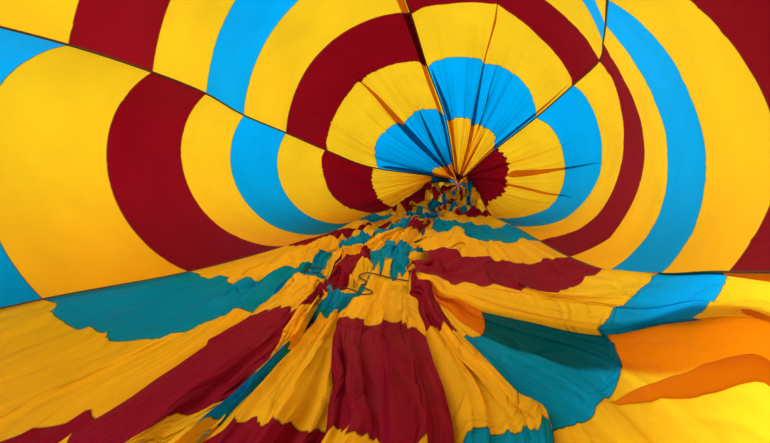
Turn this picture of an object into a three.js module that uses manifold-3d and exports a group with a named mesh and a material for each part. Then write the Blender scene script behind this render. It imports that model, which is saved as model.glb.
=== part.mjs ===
// Hot air balloon envelope, part inflated and lying on its side, with its mouth towards -Y and its crown towards +Y.
// Twelve gores are joined by twelve load tapes that run from the crown ring to the mouth.
// Millimetres, +Z up. The origin is at the bottom centre of the box round the whole envelope.
import * as THREE from 'three'
import Module from 'manifold-3d'

const wasm = await Module()
wasm.setup()

// Driving dimensions
const SHELL = 10
const GAP = 0.3
const TAPE_HALF = 12
const WALL_STEPS = 8
const FLOOR_STEPS = 6
const CROWN_X = -10
const CROWN_Z = 450
const CROWN_R = 120
const NECK_R = 420
const NECK_Z = 500
const RING_BAR = 10
const LOOP_HOLE = 10
const LOOP_OUT = 14
const LOOP_HALF = 10
const LOOP_REACH = 45
const LINK_R = 45
const LINK_BAR = 4
const LINE_R = 5
const FLOOR_MIN = 6
// The mouth's plane leans: its lower edge has slid in towards the crown by this share of its height.
const LEAN = 0.52
const MOUTH_TOP = 2120

// Tapes in order round the envelope, seen from the mouth, from the upper left round to the lower left.
const TAPES = ['a', 'b', 'c', 'd', 'e', 'f', 'g', 'h', 'i', 'j', 'k', 'l']
const MOUND_SHARE = { e: 0.6, f: 0.9, g: 1, h: 1, i: 0.9, j: 0.6, k: 0.25 }
const SLIDE_SHARE = { d: 0.35, e: 0.7, f: 0.95, g: 1, h: 1, i: 0.9, j: 0.6, k: 0.4, l: 0.3 }

// The two stations by the crown are circles: y, radius, height of the centre, and the angle of each tape.
const NECK = [
  { y: 15300, r: CROWN_R, z: CROWN_Z, turn: [120, 90, 60, 30, 0, -30, -60, -90, -120, -150, -180, -210] },
  { y: 14480, r: NECK_R, z: NECK_Z, turn: [155, 90, 38, -5, -32, -55, -76, -96, -117, -138, -160, -184] },
]

// The tapes that hold up the walls, at each seam ring from the second to the mouth: across and up, with l by the floor.
const ARCH = [
  { y: 13450, a: [-1370, 880], b: [-40, 1780], c: [850, 1220], d: [720, 150], l: [-1100, 150] },
  { y: 12300, a: [-1860, 1210], b: [-190, 2520], c: [1500, 1720], d: [880, 140], l: [-1150, 150] },
  { y: 11000, a: [-2050, 1480], b: [-240, 3120], c: [1940, 2090], d: [1210, 170], l: [-950, 180] },
  { y: 9650, a: [-2100, 1690], b: [-250, 3480], c: [2140, 2260], d: [1550, 180], l: [-1060, 190] },
  { y: 8300, a: [-1920, 1870], b: [-200, 3640], c: [2050, 2300], d: [1820, 230], l: [-1250, 200] },
  { y: 6950, a: [-1720, 1960], b: [-100, 3600], c: [1930, 2240], d: [2040, 360], l: [-1670, 180] },
  { y: 5600, a: [-1500, 2000], b: [0, 3400], c: [1800, 2170], d: [2170, 610], l: [-2150, 190] },
  { y: 4250, a: [-1350, 2000], b: [80, 3140], c: [1700, 2100], d: [2170, 820], l: [-2250, 250] },
  { y: 2900, a: [-1200, 1950], b: [120, 2820], c: [1540, 2000], d: [2060, 800], l: [-2080, 400] },
  { y: 1550, a: [-1030, 1870], b: [120, 2450], c: [1310, 1860], d: [1760, 720], l: [-1720, 580] },
  { y: 200, a: [-860, 1750], b: [100, 2120], c: [1050, 1700], d: [1360, 720], l: [-1270, 720] },
]

// The tapes in the folds on the floor, at the same rings: across, how high the folds heap up, and how far the slack
// cloth has slid towards the crown.
const FOLDS = [
  { heap: 40, slide: 0, e: 480, f: 330, g: 180, h: 20, i: -150, j: -360, k: -680 },
  { heap: 80, slide: 100, e: 620, f: 430, g: 260, h: 90, i: -90, j: -320, k: -680 },
  { heap: 120, slide: 200, e: 800, f: 530, g: 340, h: 140, i: -30, j: -220, k: -520 },
  { heap: 150, slide: 250, e: 880, f: 560, g: 360, h: 140, i: -30, j: -220, k: -570 },
  { heap: 190, slide: 250, e: 820, f: 560, g: 370, h: 120, i: -40, j: -200, k: -620 },
  { heap: 250, slide: 350, e: 850, f: 610, g: 430, h: 130, i: -20, j: -180, k: -560 },
  { heap: 300, slide: 700, e: 1250, f: 780, g: 580, h: 190, i: 20, j: -130, k: -420 },
  { heap: 300, slide: 1000, e: 1650, f: 1080, g: 840, h: 320, i: 120, j: -60, k: -380 },
  { heap: 260, slide: 740, lean: 0.33, e: 1700, f: 1380, g: 1140, h: 640, i: 260, j: 30, k: -420 },
  { heap: 160, slide: 360, lean: 0.67, e: 1620, f: 1250, g: 960, h: 560, i: 200, j: -90, k: -560 },
  { heap: 60, slide: 0, lean: 1, e: 1200, f: 940, g: 690, h: 400, i: 90, j: -220, k: -640 },
]

// Gores in the same order: how far each bows out from the line between its tapes, as a share of that line, and the
// name of the colour of its row of panels nearest the crown.
const GORES = [
  { name: 'gore_01_upper_left', from: 'a', to: 'b', bow: 0.14, first: 'yellow' },
  { name: 'gore_02_upper_right', from: 'b', to: 'c', bow: 0.13, first: 'red' },
  { name: 'gore_03_right_wall', from: 'c', to: 'd', bow: 0.27, first: 'yellow' },
  { name: 'gore_04_right_floor', from: 'd', to: 'e', lobe: -0.16, first: 'blue' },
  { name: 'gore_05_fold', from: 'e', to: 'f', lobe: 0.24, first: 'yellow' },
  { name: 'gore_06_fold', from: 'f', to: 'g', lobe: 0.26, first: 'red' },
  { name: 'gore_07_fold', from: 'g', to: 'h', lobe: 0.24, first: 'yellow' },
  { name: 'gore_08_fold', from: 'h', to: 'i', lobe: 0.26, first: 'blue' },
  { name: 'gore_09_fold', from: 'i', to: 'j', lobe: 0.26, first: 'yellow' },
  { name: 'gore_10_fold', from: 'j', to: 'k', lobe: 0.16, first: 'red' },
  { name: 'gore_11_left_floor', from: 'k', to: 'l', lobe: -0.1, first: 'yellow' },
  { name: 'gore_12_left_wall', from: 'l', to: 'a', bow: 0.34, first: 'blue' },
]

// Points along the loose control line, across, along and up, where it lies over the folds.
const LINE = [
  [-520, 7150, 121],
  [-450, 7116, 169],
  [-385, 7085, 191],
  [-310, 7045, 200],
  [-215, 6975, 200],
  [-135, 6880, 241],
  [-85, 6780, 287],
  [-40, 6690, 294],
  [25, 6440, 309],
  [75, 6355, 343],
  [125, 6320, 353],
  [190, 6300, 341],
  [222, 6380, 350],
  [228, 6460, 357],
  [215, 6570, 344],
  [180, 6680, 319],
  [150, 6800, 311],
  [155, 7000, 303],
  [200, 7065, 331],
  [260, 7078, 356],
  [330, 7068, 358],
  [390, 7040, 341],
  [440, 6990, 323],
  [520, 6890, 315],
  [580, 6830, 333],
  [640, 6785, 330],
  [720, 6735, 303],
  [780, 6680, 317],
  [840, 6620, 336],
  [900, 6560, 338],
]

const COLOURS = { yellow: 0xf6c21c, red: 0x8e1626, blue: 0x0a7fc4 }

// Where each tape is at each ring
const V = (x, y, z) => new THREE.Vector3(x, y, z)
const rings = []
for (const n of NECK) {
  const row = {}
  TAPES.forEach((tape, i) => {
    const a = THREE.MathUtils.degToRad(n.turn[i])
    row[tape] = V(CROWN_X + n.r * Math.cos(a), n.y, n.z + n.r * Math.sin(a))
  })
  rings.push(row)
}
ARCH.forEach((arch, i) => {
  const folds = FOLDS[i]
  const row = {}
  for (const tape of TAPES) {
    const [x, z] = arch[tape] ?? [folds[tape], FLOOR_MIN + 4 + folds.heap * MOUND_SHARE[tape]]
    const lean = Math.max(MOUTH_TOP - z, 0) * LEAN * (folds.lean ?? 0)
    row[tape] = V(x, arch.y + folds.slide * (SLIDE_SHARE[tape] ?? 0) + lean, z)
  }
  rings.push(row)
})

// Shares of the way across a gore, from tape to tape. The first and last steps are always wider than half a tape.
function shares(steps, length) {
  const first = Math.max(1 / steps, 16 / length)
  const list = [0]
  for (let i = 1; i < steps; i++) list.push(first + ((1 - 2 * first) * (i - 1)) / (steps - 2))
  return [...list, 1]
}

// The middle line of one gore across one ring, from tape to tape
function across(gore, ring) {
  const p = rings[ring][gore.from]
  const q = rings[ring][gore.to]
  const steps = gore.lobe === undefined ? WALL_STEPS : FLOOR_STEPS
  const line = []
  if (ring < NECK.length) {
    const n = NECK[ring]
    const a = THREE.MathUtils.degToRad(n.turn[TAPES.indexOf(gore.from)])
    let b = THREE.MathUtils.degToRad(n.turn[TAPES.indexOf(gore.to)])
    if (b > a) b -= 2 * Math.PI
    for (const share of shares(steps, n.r * (a - b))) {
      const t = a + (b - a) * share
      line.push(V(CROWN_X + n.r * Math.cos(t), n.y, n.z + n.r * Math.sin(t)))
    }
    return line
  }
  const chord = p.distanceTo(q)
  if (gore.lobe === undefined) {
    const side = V(q.x - p.x, 0, q.z - p.z).normalize()
    const out = V(-side.z, 0, side.x)
    const sag = gore.bow * chord
    const radius = (chord * chord) / 8 / sag + sag / 2
    const half = Math.asin(chord / 2 / radius)
    for (const share of shares(steps, chord)) {
      const t = half * (2 * share - 1)
      const along = 0.5 + (radius * Math.sin(t)) / chord
      const lift = radius * Math.cos(t) - radius * Math.cos(half)
      line.push(p.clone().lerp(q, along).addScaledVector(out, lift))
    }
    return line
  }
  for (const share of shares(steps, chord)) {
    const at = p.clone().lerp(q, share)
    at.z = Math.max(at.z + gore.lobe * chord * Math.sin(Math.PI * share), FLOOR_MIN)
    line.push(at)
  }
  return line
}

// A skin over a row of closed sections with the same number of points. slants tells, for each side of the section,
// which way its quads are cut in two, so that both faces of a shell, and the edges where two pieces meet, stay level.
function loft(sections, slants) {
  const n = sections[0].length
  const points = sections.flat()
  const faces = []
  for (let s = 0; s + 1 < sections.length; s++) {
    for (let i = 0; i < n; i++) {
      const k = (i + 1) % n
      const a = s * n + i
      const b = s * n + k
      const c = (s + 1) * n + i
      const d = (s + 1) * n + k
      if (slants[i]) faces.push([a, c, d], [a, d, b])
      else faces.push([a, c, b], [b, c, d])
    }
  }
  return { points, faces, n, last: (sections.length - 1) * n }
}

function geometry(points, faces) {
  const g = new THREE.BufferGeometry()
  g.setAttribute('position', new THREE.Float32BufferAttribute(points.flatMap((p) => [p.x, p.y, p.z]), 3))
  g.setIndex(faces.flat())
  g.computeVertexNormals()
  return g
}

// Turns a body's faces the other way if they face in
function facingOut(points, faces) {
  let volume = 0
  for (const [a, b, c] of faces) volume += points[a].dot(V().crossVectors(points[b], points[c]))
  return volume < 0 ? faces.map(([a, b, c]) => [a, c, b]) : faces
}

// Middle lines of all gores, and the way the cloth runs and faces at each point
const lines = GORES.map((gore) => rings.map((_, ring) => across(gore, ring)))
function frameAt(gore, ring, i) {
  const line = lines[gore][ring]
  const before = line[Math.max(i - 1, 0)]
  const after = line[Math.min(i + 1, line.length - 1)]
  const side = after.clone().sub(before).normalize()
  const up = lines[gore][Math.max(ring - 1, 0)][i]
  const down = lines[gore][Math.min(ring + 1, rings.length - 1)][i]
  const run = down.clone().sub(up)
  run.addScaledVector(side, -run.dot(side)).normalize()
  return { side, run, face: V().crossVectors(side, run).normalize() }
}

const group = new THREE.Group()
function add(name, geo, colour, roughness, metalness) {
  const material = new THREE.MeshStandardMaterial({ color: colour, roughness, metalness })
  material.side = THREE.DoubleSide
  const mesh = new THREE.Mesh(geo, material)
  mesh.name = name
  group.add(mesh)
  return mesh
}

// Gores: shells between the tapes
GORES.forEach((gore, g) => {
  const sections = []
  for (let ring = 0; ring < rings.length; ring++) {
    const line = lines[g][ring]
    const last = line.length - 1
    const inner = []
    const outer = []
    for (let i = 0; i <= last; i++) {
      const f = frameAt(g, ring, i)
      const at = line[i].clone()
      if (i === 0) at.addScaledVector(f.side, TAPE_HALF + GAP)
      if (i === last) at.addScaledVector(f.side, -TAPE_HALF - GAP)
      inner.push(at.clone().addScaledVector(f.face, -SHELL / 2))
      outer.push(at.clone().addScaledVector(f.face, SHELL / 2))
    }
    sections.push([...inner, ...outer.reverse()])
  }
  const half = sections[0].length / 2
  const slants = sections[0].map((_, i) => i >= half && i < 2 * half - 1)
  const { points, faces, n, last } = loft(sections, slants)
  for (let i = 0; i + 1 < half; i++) {
    const a = i
    const b = i + 1
    const c = n - 1 - i
    const d = n - 2 - i
    faces.push([a, b, c], [b, d, c])
    faces.push([last + a, last + c, last + b], [last + b, last + c, last + d])
  }
  add(gore.name, geometry(points, facingOut(points, faces)), COLOURS[gore.first], 0.6, 0)
})

function toManifold(points, faces) {
  const out = facingOut(points, faces)
  const mesh = new wasm.Mesh({
    numProp: 3,
    vertProperties: new Float32Array(points.flatMap((p) => [p.x, p.y, p.z])),
    triVerts: new Uint32Array(out.flat()),
  })
  return new wasm.Manifold(mesh)
}

function fromManifold(body) {
  const mesh = body.getMesh()
  const g = new THREE.BufferGeometry()
  g.setAttribute('position', new THREE.Float32BufferAttribute(mesh.vertProperties, 3))
  g.setIndex([...mesh.triVerts])
  g.computeVertexNormals()
  return g
}

// Load tapes: a strip bent to meet both gores, with a loop sewn at its mouth end for a steel ring
TAPES.forEach((tape, t) => {
  const left = GORES.findIndex((gore) => gore.to === tape)
  const right = GORES.findIndex((gore) => gore.from === tape)
  const sections = []
  let end
  for (let ring = 0; ring < rings.length; ring++) {
    const at = rings[ring][tape]
    const lastLeft = lines[left][ring].length - 1
    const l = frameAt(left, ring, lastLeft)
    const r = frameAt(right, ring, 0)
    const middle = l.face.clone().add(r.face).normalize()
    const reach = SHELL / 2 / Math.max(middle.dot(r.face), 0.5)
    const p = at.clone().addScaledVector(l.side, -TAPE_HALF)
    const q = at.clone().addScaledVector(r.side, TAPE_HALF)
    sections.push([
      p.clone().addScaledVector(l.face, -SHELL / 2),
      at.clone().addScaledVector(middle, -reach),
      q.clone().addScaledVector(r.face, -SHELL / 2),
      q.clone().addScaledVector(r.face, SHELL / 2),
      at.clone().addScaledVector(middle, reach),
      p.clone().addScaledVector(l.face, SHELL / 2),
    ])
    end = { at, side: l.side.clone().add(r.side).normalize(), face: middle }
  }
  const { points, faces, last } = loft(sections, [true, true, true, false, false, true])
  faces.push([0, 1, 5], [1, 4, 5], [1, 2, 4], [2, 3, 4])
  faces.push([last, last + 5, last + 1], [last + 1, last + 5, last + 4])
  faces.push([last + 1, last + 4, last + 2], [last + 2, last + 4, last + 3])
  const strip = toManifold(points, faces)

  // The loop's own frame: side across the tape, run out of the mouth, and face through the cloth
  const run = V(0, -1, -LEAN)
  run.addScaledVector(end.face, -run.dot(end.face)).normalize()
  const side = end.side.addScaledVector(run, -end.side.dot(run)).normalize()
  const face = V().crossVectors(side, run).normalize()
  const profile = new THREE.Shape()
  profile.moveTo(-6, -3)
  profile.lineTo(LOOP_REACH - LOOP_OUT, -3)
  for (let i = 1; i < 12; i++) {
    const a = -Math.PI + (2 * Math.PI * i) / 12
    profile.lineTo(LOOP_REACH + LOOP_OUT * Math.cos(a), LOOP_OUT * Math.sin(a))
  }
  profile.lineTo(LOOP_REACH - LOOP_OUT, 3)
  profile.lineTo(-6, 3)
  profile.closePath()
  const hole = new THREE.Path()
  hole.absarc(LOOP_REACH, 0, LOOP_HOLE, 0, 2 * Math.PI, true)
  profile.holes.push(hole)
  const loop = new THREE.ExtrudeGeometry(profile, {
    depth: 2 * LOOP_HALF, bevelEnabled: false, curveSegments: 12,
  })
  loop.translate(0, 0, -LOOP_HALF)
  loop.applyMatrix4(new THREE.Matrix4().makeBasis(run, face, V().crossVectors(run, face)).setPosition(end.at))
  const position = loop.getAttribute('position')
  const corners = []
  const places = new Map()
  const index = []
  for (let i = 0; i < position.count; i++) {
    const p = V().fromBufferAttribute(position, i)
    const key = [p.x, p.y, p.z].map((x) => x.toFixed(3)).join()
    if (!places.has(key)) {
      places.set(key, corners.length)
      corners.push(p)
    }
    index.push(places.get(key))
  }
  const triangles = []
  for (let i = 0; i < index.length; i += 3) triangles.push([index[i], index[i + 1], index[i + 2]])
  const whole = strip.add(toManifold(corners, triangles))
  add(`load_tape_${String(t + 1).padStart(2, '0')}`, fromManifold(whole), 0x3a2d22, 0.8, 0)

  // A steel ring that hangs in the loop, or lies flat where the loop is by the floor
  const hang = end.at.z > 300 ? V(0, -0.6, -1) : run.clone()
  hang.addScaledVector(side, -hang.dot(side)).normalize()
  const middle = end.at.clone().addScaledVector(run, LOOP_REACH).addScaledVector(hang, 4 + LINK_R)
  const link = new THREE.TorusGeometry(LINK_R, LINK_BAR, 6, 24)
  const axis = V().crossVectors(side, hang).normalize()
  link.applyMatrix4(new THREE.Matrix4().makeBasis(side, hang, axis).setPosition(middle))
  add(`steel_ring_${String(t + 1).padStart(2, '0')}`, link, 0xb9bcc0, 0.3, 1)
})

// Crown ring, against the ends of the gores and tapes
const crown = new THREE.TorusGeometry(CROWN_R, RING_BAR, 8, 48)
crown.rotateX(Math.PI / 2)
crown.translate(CROWN_X, NECK[0].y + RING_BAR + 0.6, CROWN_Z)
add('crown_ring', crown, 0xa8acb0, 0.35, 1)

// The loose control line over the folds
const route = new THREE.CatmullRomCurve3(LINE.map((p) => V(...p)))
const round = new THREE.Shape()
for (let i = 0; i < 8; i++) {
  const a = (i * Math.PI) / 4
  if (i === 0) round.moveTo(LINE_R, 0)
  else round.lineTo(LINE_R * Math.cos(a), LINE_R * Math.sin(a))
}
round.closePath()
const rope = new THREE.ExtrudeGeometry(round, { steps: 76, extrudePath: route, curveSegments: 1 })
add('control_line', rope, 0x2a1d16, 0.85, 0)

// Moves the whole envelope so that the origin is at the bottom centre of its box
const box = new THREE.Box3().setFromObject(group)
const centre = box.getCenter(V())
for (const mesh of group.children) {
  mesh.geometry.translate(-centre.x, -centre.y, -box.min.z)
}

export default group
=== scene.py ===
import math

import bpy
import numpy as np
from bpy.props import FloatProperty, FloatVectorProperty, PointerProperty
from bpy.types import Operator, Panel, PropertyGroup
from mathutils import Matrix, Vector


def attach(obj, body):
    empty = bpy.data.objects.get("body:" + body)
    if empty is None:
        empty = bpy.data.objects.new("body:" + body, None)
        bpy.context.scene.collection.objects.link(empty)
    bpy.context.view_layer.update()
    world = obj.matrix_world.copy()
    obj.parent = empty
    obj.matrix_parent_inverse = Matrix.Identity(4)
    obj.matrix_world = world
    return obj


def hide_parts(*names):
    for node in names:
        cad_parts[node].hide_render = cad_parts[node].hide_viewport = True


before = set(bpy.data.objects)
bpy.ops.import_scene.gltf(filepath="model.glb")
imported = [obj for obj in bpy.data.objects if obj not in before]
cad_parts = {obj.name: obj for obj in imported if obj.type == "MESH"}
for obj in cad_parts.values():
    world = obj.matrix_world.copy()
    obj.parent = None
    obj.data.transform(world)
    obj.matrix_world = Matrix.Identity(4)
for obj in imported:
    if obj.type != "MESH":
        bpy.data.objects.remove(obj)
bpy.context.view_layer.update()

bl_info = {
    "name": "Hot air balloon envelope",
    "version": (1, 0, 0),
    "blender": (4, 5, 0),
    "location": "View3D > Sidebar > Envelope",
    "description": "Builds the cloth, tapes, rings and line of a part inflated envelope",
    "category": "Object",
}

# The tables below have their zero on the ground under the mouth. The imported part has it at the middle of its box.
SHIFT = np.array([0.0074, -7.7122, -0.001])
ROWS = 12
ROW_LENGTH = 1.4
# Points along one row of panels on a wall, on the floor and on a tape, and points across a wall and a floor gore
WALL_STEPS = 16
FLOOR_STEPS = 24
TAPE_STEPS = 12
WALL_ACROSS = 121
FLOOR_ACROSS = 97
# Width of a gore as cut, at each ring seam from the crown to the mouth
CUT_WIDTH = [0.12, 0.72, 1.42, 2.05, 2.55, 2.76, 2.80, 2.72, 2.60, 2.32, 1.93, 1.48, 1.0]
PANEL_ORDER = ("blue", "yellow", "red", "yellow")
# Of each cloth: its colour with light behind it, the darker tint that painted shade mixes into it, the share of its
# look that is light from behind, and how dark its ring seams are
CLOTHS = {
    "yellow": ((1.0, 0.70, 0.016), (0.78, 0.34, 0.08), 0.42, 0.55),
    "red": ((0.26, 0.002, 0.008), (0.45, 0.4, 0.4), 0.36, 0.6),
    "blue": ((0.0, 0.42, 1.0), (0.3, 0.33, 0.24), 0.54, 0.45),
}

# The tapes that hold the walls, at each ring seam from the crown ring to the mouth: across, along, up
ARCH_TAPES = {
    "a": [(-0.07, 15.3, 0.554), (-0.39, 14.5, 0.68), (-1.37, 13.5, 0.88), (-1.86, 12.28, 1.21), (-2.05, 10.95, 1.48),
          (-2.10, 9.58, 1.69), (-1.92, 8.2, 1.87), (-1.72, 6.82, 1.96), (-1.50, 5.45, 2.0), (-1.35, 4.15, 2.0),
          (-1.2, 2.9, 1.95), (-1.03, 1.65, 1.87), (-0.86, 0.39, 1.75)],
    "b": [(-0.01, 15.3, 0.57), (0.0, 14.5, 0.93), (-0.04, 13.45, 1.78), (-0.19, 12.27, 2.52), (-0.24, 11.0, 3.12),
          (-0.25, 9.65, 3.48), (-0.2, 8.3, 3.64), (-0.1, 6.95, 3.6), (0.0, 5.6, 3.4), (0.08, 4.25, 3.14),
          (0.12, 2.9, 2.82), (0.12, 1.55, 2.45), (0.10, 0.2, 2.12)],
    "c": [(0.05, 15.3, 0.554), (0.34, 14.5, 0.78), (0.85, 13.4, 1.22), (1.5, 12.28, 1.72), (1.94, 11.0, 2.09),
          (2.14, 9.65, 2.26), (2.05, 8.27, 2.3), (1.93, 6.9, 2.24), (1.8, 5.52, 2.17), (1.70, 4.2, 2.1),
          (1.54, 2.9, 2.0), (1.31, 1.64, 1.86), (1.05, 0.42, 1.7)],
    "d": [(0.094, 15.3, 0.51), (0.41, 14.5, 0.46), (0.72, 13.45, 0.15), (0.88, 12.45, 0.14), (1.21, 11.16, 0.18),
          (1.55, 9.81, 0.18), (1.82, 8.44, 0.23), (2.04, 7.07, 0.36), (2.17, 5.7, 0.61), (2.17, 4.33, 0.89),
          (2.08, 3.1, 1.08), (1.76, 2.0, 0.95), (1.36, 0.93, 0.72)],
    "l": [(-0.114, 15.3, 0.51), (-0.43, 14.5, 0.53), (-1.0, 13.5, 0.15), (-1.08, 12.4, 0.17), (-1.12, 11.3, 0.17),
          (-1.1, 10.1, 0.18), (-1.25, 8.7, 0.2), (-1.65, 7.2, 0.18), (-2.19, 5.93, 0.19), (-2.3, 4.6, 0.25),
          (-2.08, 3.35, 0.4), (-1.72, 2.18, 0.58), (-1.27, 0.93, 0.72)],
}

# Gathers in each wall by the crown ring
GATHERS = 110
# Across a flat fold of doubled cloth: share of its half width, and how far it stands off the gore
TUCK_SECTION = ((-0.85, 0.0025), (-1.0, 0.006), (-0.9, 0.011), (-0.45, 0.014), (0.0, 0.0145), (0.45, 0.014),
                (0.9, 0.011), (1.0, 0.006), (0.85, 0.0025))

# Walls: how far each gore bows out at each ring, as a share of the line between its tapes; how far its ring seams lie
# towards the crown, in rows, at shares across the gore; and its doubled strips, as place along, share across and half
# width
WALLS = [
    {"number": 12, "name": "left_wall_gore", "tapes": "la", "node": "gore_12_left_wall",
     "bow": [0.05, 0.05, 0.3, 0.33, 0.36, 0.38, 0.38, 0.34, 0.32, 0.34, 0.36, 0.34, 0.3],
     "seams": {2: [(0, 0.06), (0.25, 0.08), (0.5, 0.1), (0.85, 0.07), (1, 0.04)],
               3: [(0, 0.1), (0.1, 0.3), (0.2, 0.34), (0.3, 0.18), (0.5, 0.1), (0.74, 0.07), (0.93, -0.02), (1, 0)]},
     "tucks": []},
    {"number": 1, "name": "upper_left_gore", "tapes": "ab", "node": "gore_01_upper_left",
     "bow": [0.066, 0.1, 0.13, 0.19, 0.2, 0.19, 0.18, 0.17, 0.16, 0.16, 0.15, 0.14, 0.13],
     "seams": {1: [(0, 0), (0.25, -0.1), (0.4, -0.05), (0.6, 0.03), (0.8, 0.08), (1, 0.06)],
               2: [(0, 0.12), (0.06, 0.05), (0.13, -0.04), (0.22, -0.14), (0.3, -0.19), (0.5, -0.19), (0.555, -0.17),
                   (0.575, -0.07), (0.61, -0.14), (0.75, -0.21), (0.86, -0.19), (0.95, -0.13), (1, 0)],
               3: [(0, 0.05), (0.05, -0.02), (0.25, -0.05), (0.45, -0.09), (0.52, -0.13), (0.54, -0.08), (0.6, -0.13),
                   (0.8, -0.11), (0.95, -0.09), (1, 0)]},
     "tucks": [
         [(3.17, 0.53, 0.0), (2.87, 0.545, 0.016), (2.6, 0.555, 0.026), (2.15, 0.56, 0.042), (1.7, 0.565, 0.05),
          (1.2, 0.55, 0.045), (0.6, 0.5, 0.03), (0.0, 0.45, 0.012)],
         [(2.13, 0.79, 0.0), (1.7, 0.76, 0.02), (1.3, 0.715, 0.036), (0.95, 0.69, 0.035), (0.5, 0.67, 0.02),
          (0.0, 0.65, 0.01)],
         [(5.4, 0.98, 0.0), (4.6, 0.975, 0.055), (4.0, 0.975, 0.045), (3.4, 0.98, 0.034), (3.0, 0.98, 0.028),
          (2.4, 0.97, 0.026), (1.8, 0.96, 0.022), (1.1, 0.94, 0.026), (0.5, 0.92, 0.02), (0.0, 0.9, 0.01)],
         [(1.97, 0.03, 0.0), (1.8, 0.04, 0.027), (1.5, 0.05, 0.038), (1.1, 0.07, 0.045), (0.5, 0.1, 0.03),
          (0.0, 0.15, 0.012)]]},
    {"number": 2, "name": "upper_right_gore", "tapes": "bc", "node": "gore_02_upper_right",
     "bow": [0.066, 0.1, 0.12, 0.19, 0.19, 0.18, 0.17, 0.16, 0.15, 0.15, 0.14, 0.13, 0.13],
     "seams": {1: [(0, 0.6), (1, 0.6)],
               2: [(0, 0.07), (0.1, 0.05), (0.18, -0.02), (0.3, -0.06), (0.4, -0.08), (0.45, 0.03), (0.54, -0.07),
                   (0.7, -0.14), (0.85, -0.14), (0.92, -0.05), (1, 0.1)],
               3: [(0, 0.03), (0.05, -0.04), (0.15, -0.08), (0.3, -0.09), (0.41, -0.11), (0.435, -0.06), (0.46, -0.07),
                   (0.55, -0.13), (0.7, -0.16), (0.83, -0.14), (0.94, -0.07), (1, 0)],
               4: [(0, 0.04), (0.07, -0.02), (0.2, -0.02), (0.3, -0.07), (0.42, -0.14), (0.45, -0.18), (0.5, -0.12),
                   (0.58, -0.08), (0.7, -0.03), (0.9, -0.06), (0.97, -0.07), (1, 0)],
               5: [(0, 0.1), (0.45, 0.1), (0.66, 0.2), (0.8, 0.12), (0.9, 0.02), (1, -0.06)]},
     "tucks": [
         [(4.15, 0.45, 0.0), (3.68, 0.453, 0.016), (3.39, 0.445, 0.012), (3.12, 0.435, 0.009), (2.78, 0.435, 0.018),
          (2.37, 0.445, 0.03), (2.1, 0.46, 0.04), (1.7, 0.5, 0.045), (1.0, 0.51, 0.045), (0.0, 0.5, 0.02)],
         [(3.15, 0.525, 0.0), (2.53, 0.535, 0.008), (2.1, 0.57, 0.011), (1.8, 0.6, 0.0)],
         [(3.0, 0.025, 0.0), (2.53, 0.035, 0.03), (2.22, 0.05, 0.045), (1.83, 0.08, 0.05), (1.35, 0.13, 0.045),
          (0.6, 0.2, 0.03), (0.0, 0.22, 0.01)],
         [(2.02, 0.685, 0.0), (1.66, 0.695, 0.027), (1.27, 0.69, 0.03), (0.6, 0.66, 0.028), (0.0, 0.62, 0.01)],
         [(3.9, 0.98, 0.0), (3.3, 0.98, 0.013), (2.5, 0.97, 0.022), (2.0, 0.965, 0.03), (1.2, 0.95, 0.034),
          (0.5, 0.92, 0.02), (0.0, 0.9, 0.01)]]},
    {"number": 3, "name": "right_wall_gore", "tapes": "cd", "node": "gore_03_right_wall",
     "bow": [0.066, 0.1, 0.26, 0.33, 0.33, 0.28, 0.26, 0.22, 0.22, 0.25, 0.3, 0.3, 0.28],
     "seams": {1: [(0, 0.6), (1, 0.6)],
               2: [(0, 0), (0.1, -0.04), (0.25, -0.05), (0.36, 0), (0.45, 0.06), (0.6, 0.02), (0.7, 0.08), (0.8, 0.16),
                   (0.9, 0.28), (1, 0.1)],
               3: [(0, 0.02), (0.09, -0.1), (0.2, -0.16), (0.34, -0.23), (0.5, -0.36), (0.65, -0.5), (0.72, -0.55),
                   (0.83, -0.33), (1, 0)],
               4: [(0, -0.03), (0.06, -0.09), (0.24, -0.1), (0.4, -0.19), (0.5, -0.3), (0.62, -0.37), (0.7, -0.4),
                   (0.8, -0.45), (1, 0)],
               5: [(0, -0.04), (0.09, -0.05), (0.23, 0.09), (0.36, 0.11), (0.51, -0.02), (0.63, -0.16), (0.74, -0.28),
                   (0.84, -0.25), (0.95, 0), (1, 0)],
               6: [(0, 0.05), (0.05, 0.36), (0.15, 0.48), (0.28, 0.38), (0.4, 0.18), (0.48, 0.02), (0.58, -0.1),
                   (0.67, -0.18), (0.76, -0.23), (0.85, -0.3), (0.94, -0.1), (1, 0)],
               7: [(0, 0), (0.07, 0.19), (0.2, 0.24), (0.33, 0.08), (0.44, -0.09), (0.53, -0.15), (0.66, -0.23),
                   (0.75, -0.26), (0.84, -0.23), (0.94, -0.12), (1, 0)],
               8: [(0, 0.02), (0.23, 0.05), (0.49, -0.01), (0.63, -0.07), (0.77, -0.11), (0.86, -0.13), (0.97, -0.06),
                   (1, 0)],
               9: [(0, 0), (0.21, 0.18), (0.32, 0.15), (0.45, 0.1), (0.58, 0.02), (0.8, -0.05), (1, 0)]},
     "tucks": [
         [(4.2, 0.45, 0.0), (3.78, 0.43, 0.004), (3.41, 0.425, 0.011), (2.83, 0.41, 0.02), (2.5, 0.41, 0.04),
          (2.1, 0.4, 0.066), (1.98, 0.4, 0.0)],
         [(3.44, 0.63, 0.0), (3.2, 0.615, 0.008), (2.65, 0.585, 0.017), (1.95, 0.53, 0.026), (1.9, 0.53, 0.0)]]},
]

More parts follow.
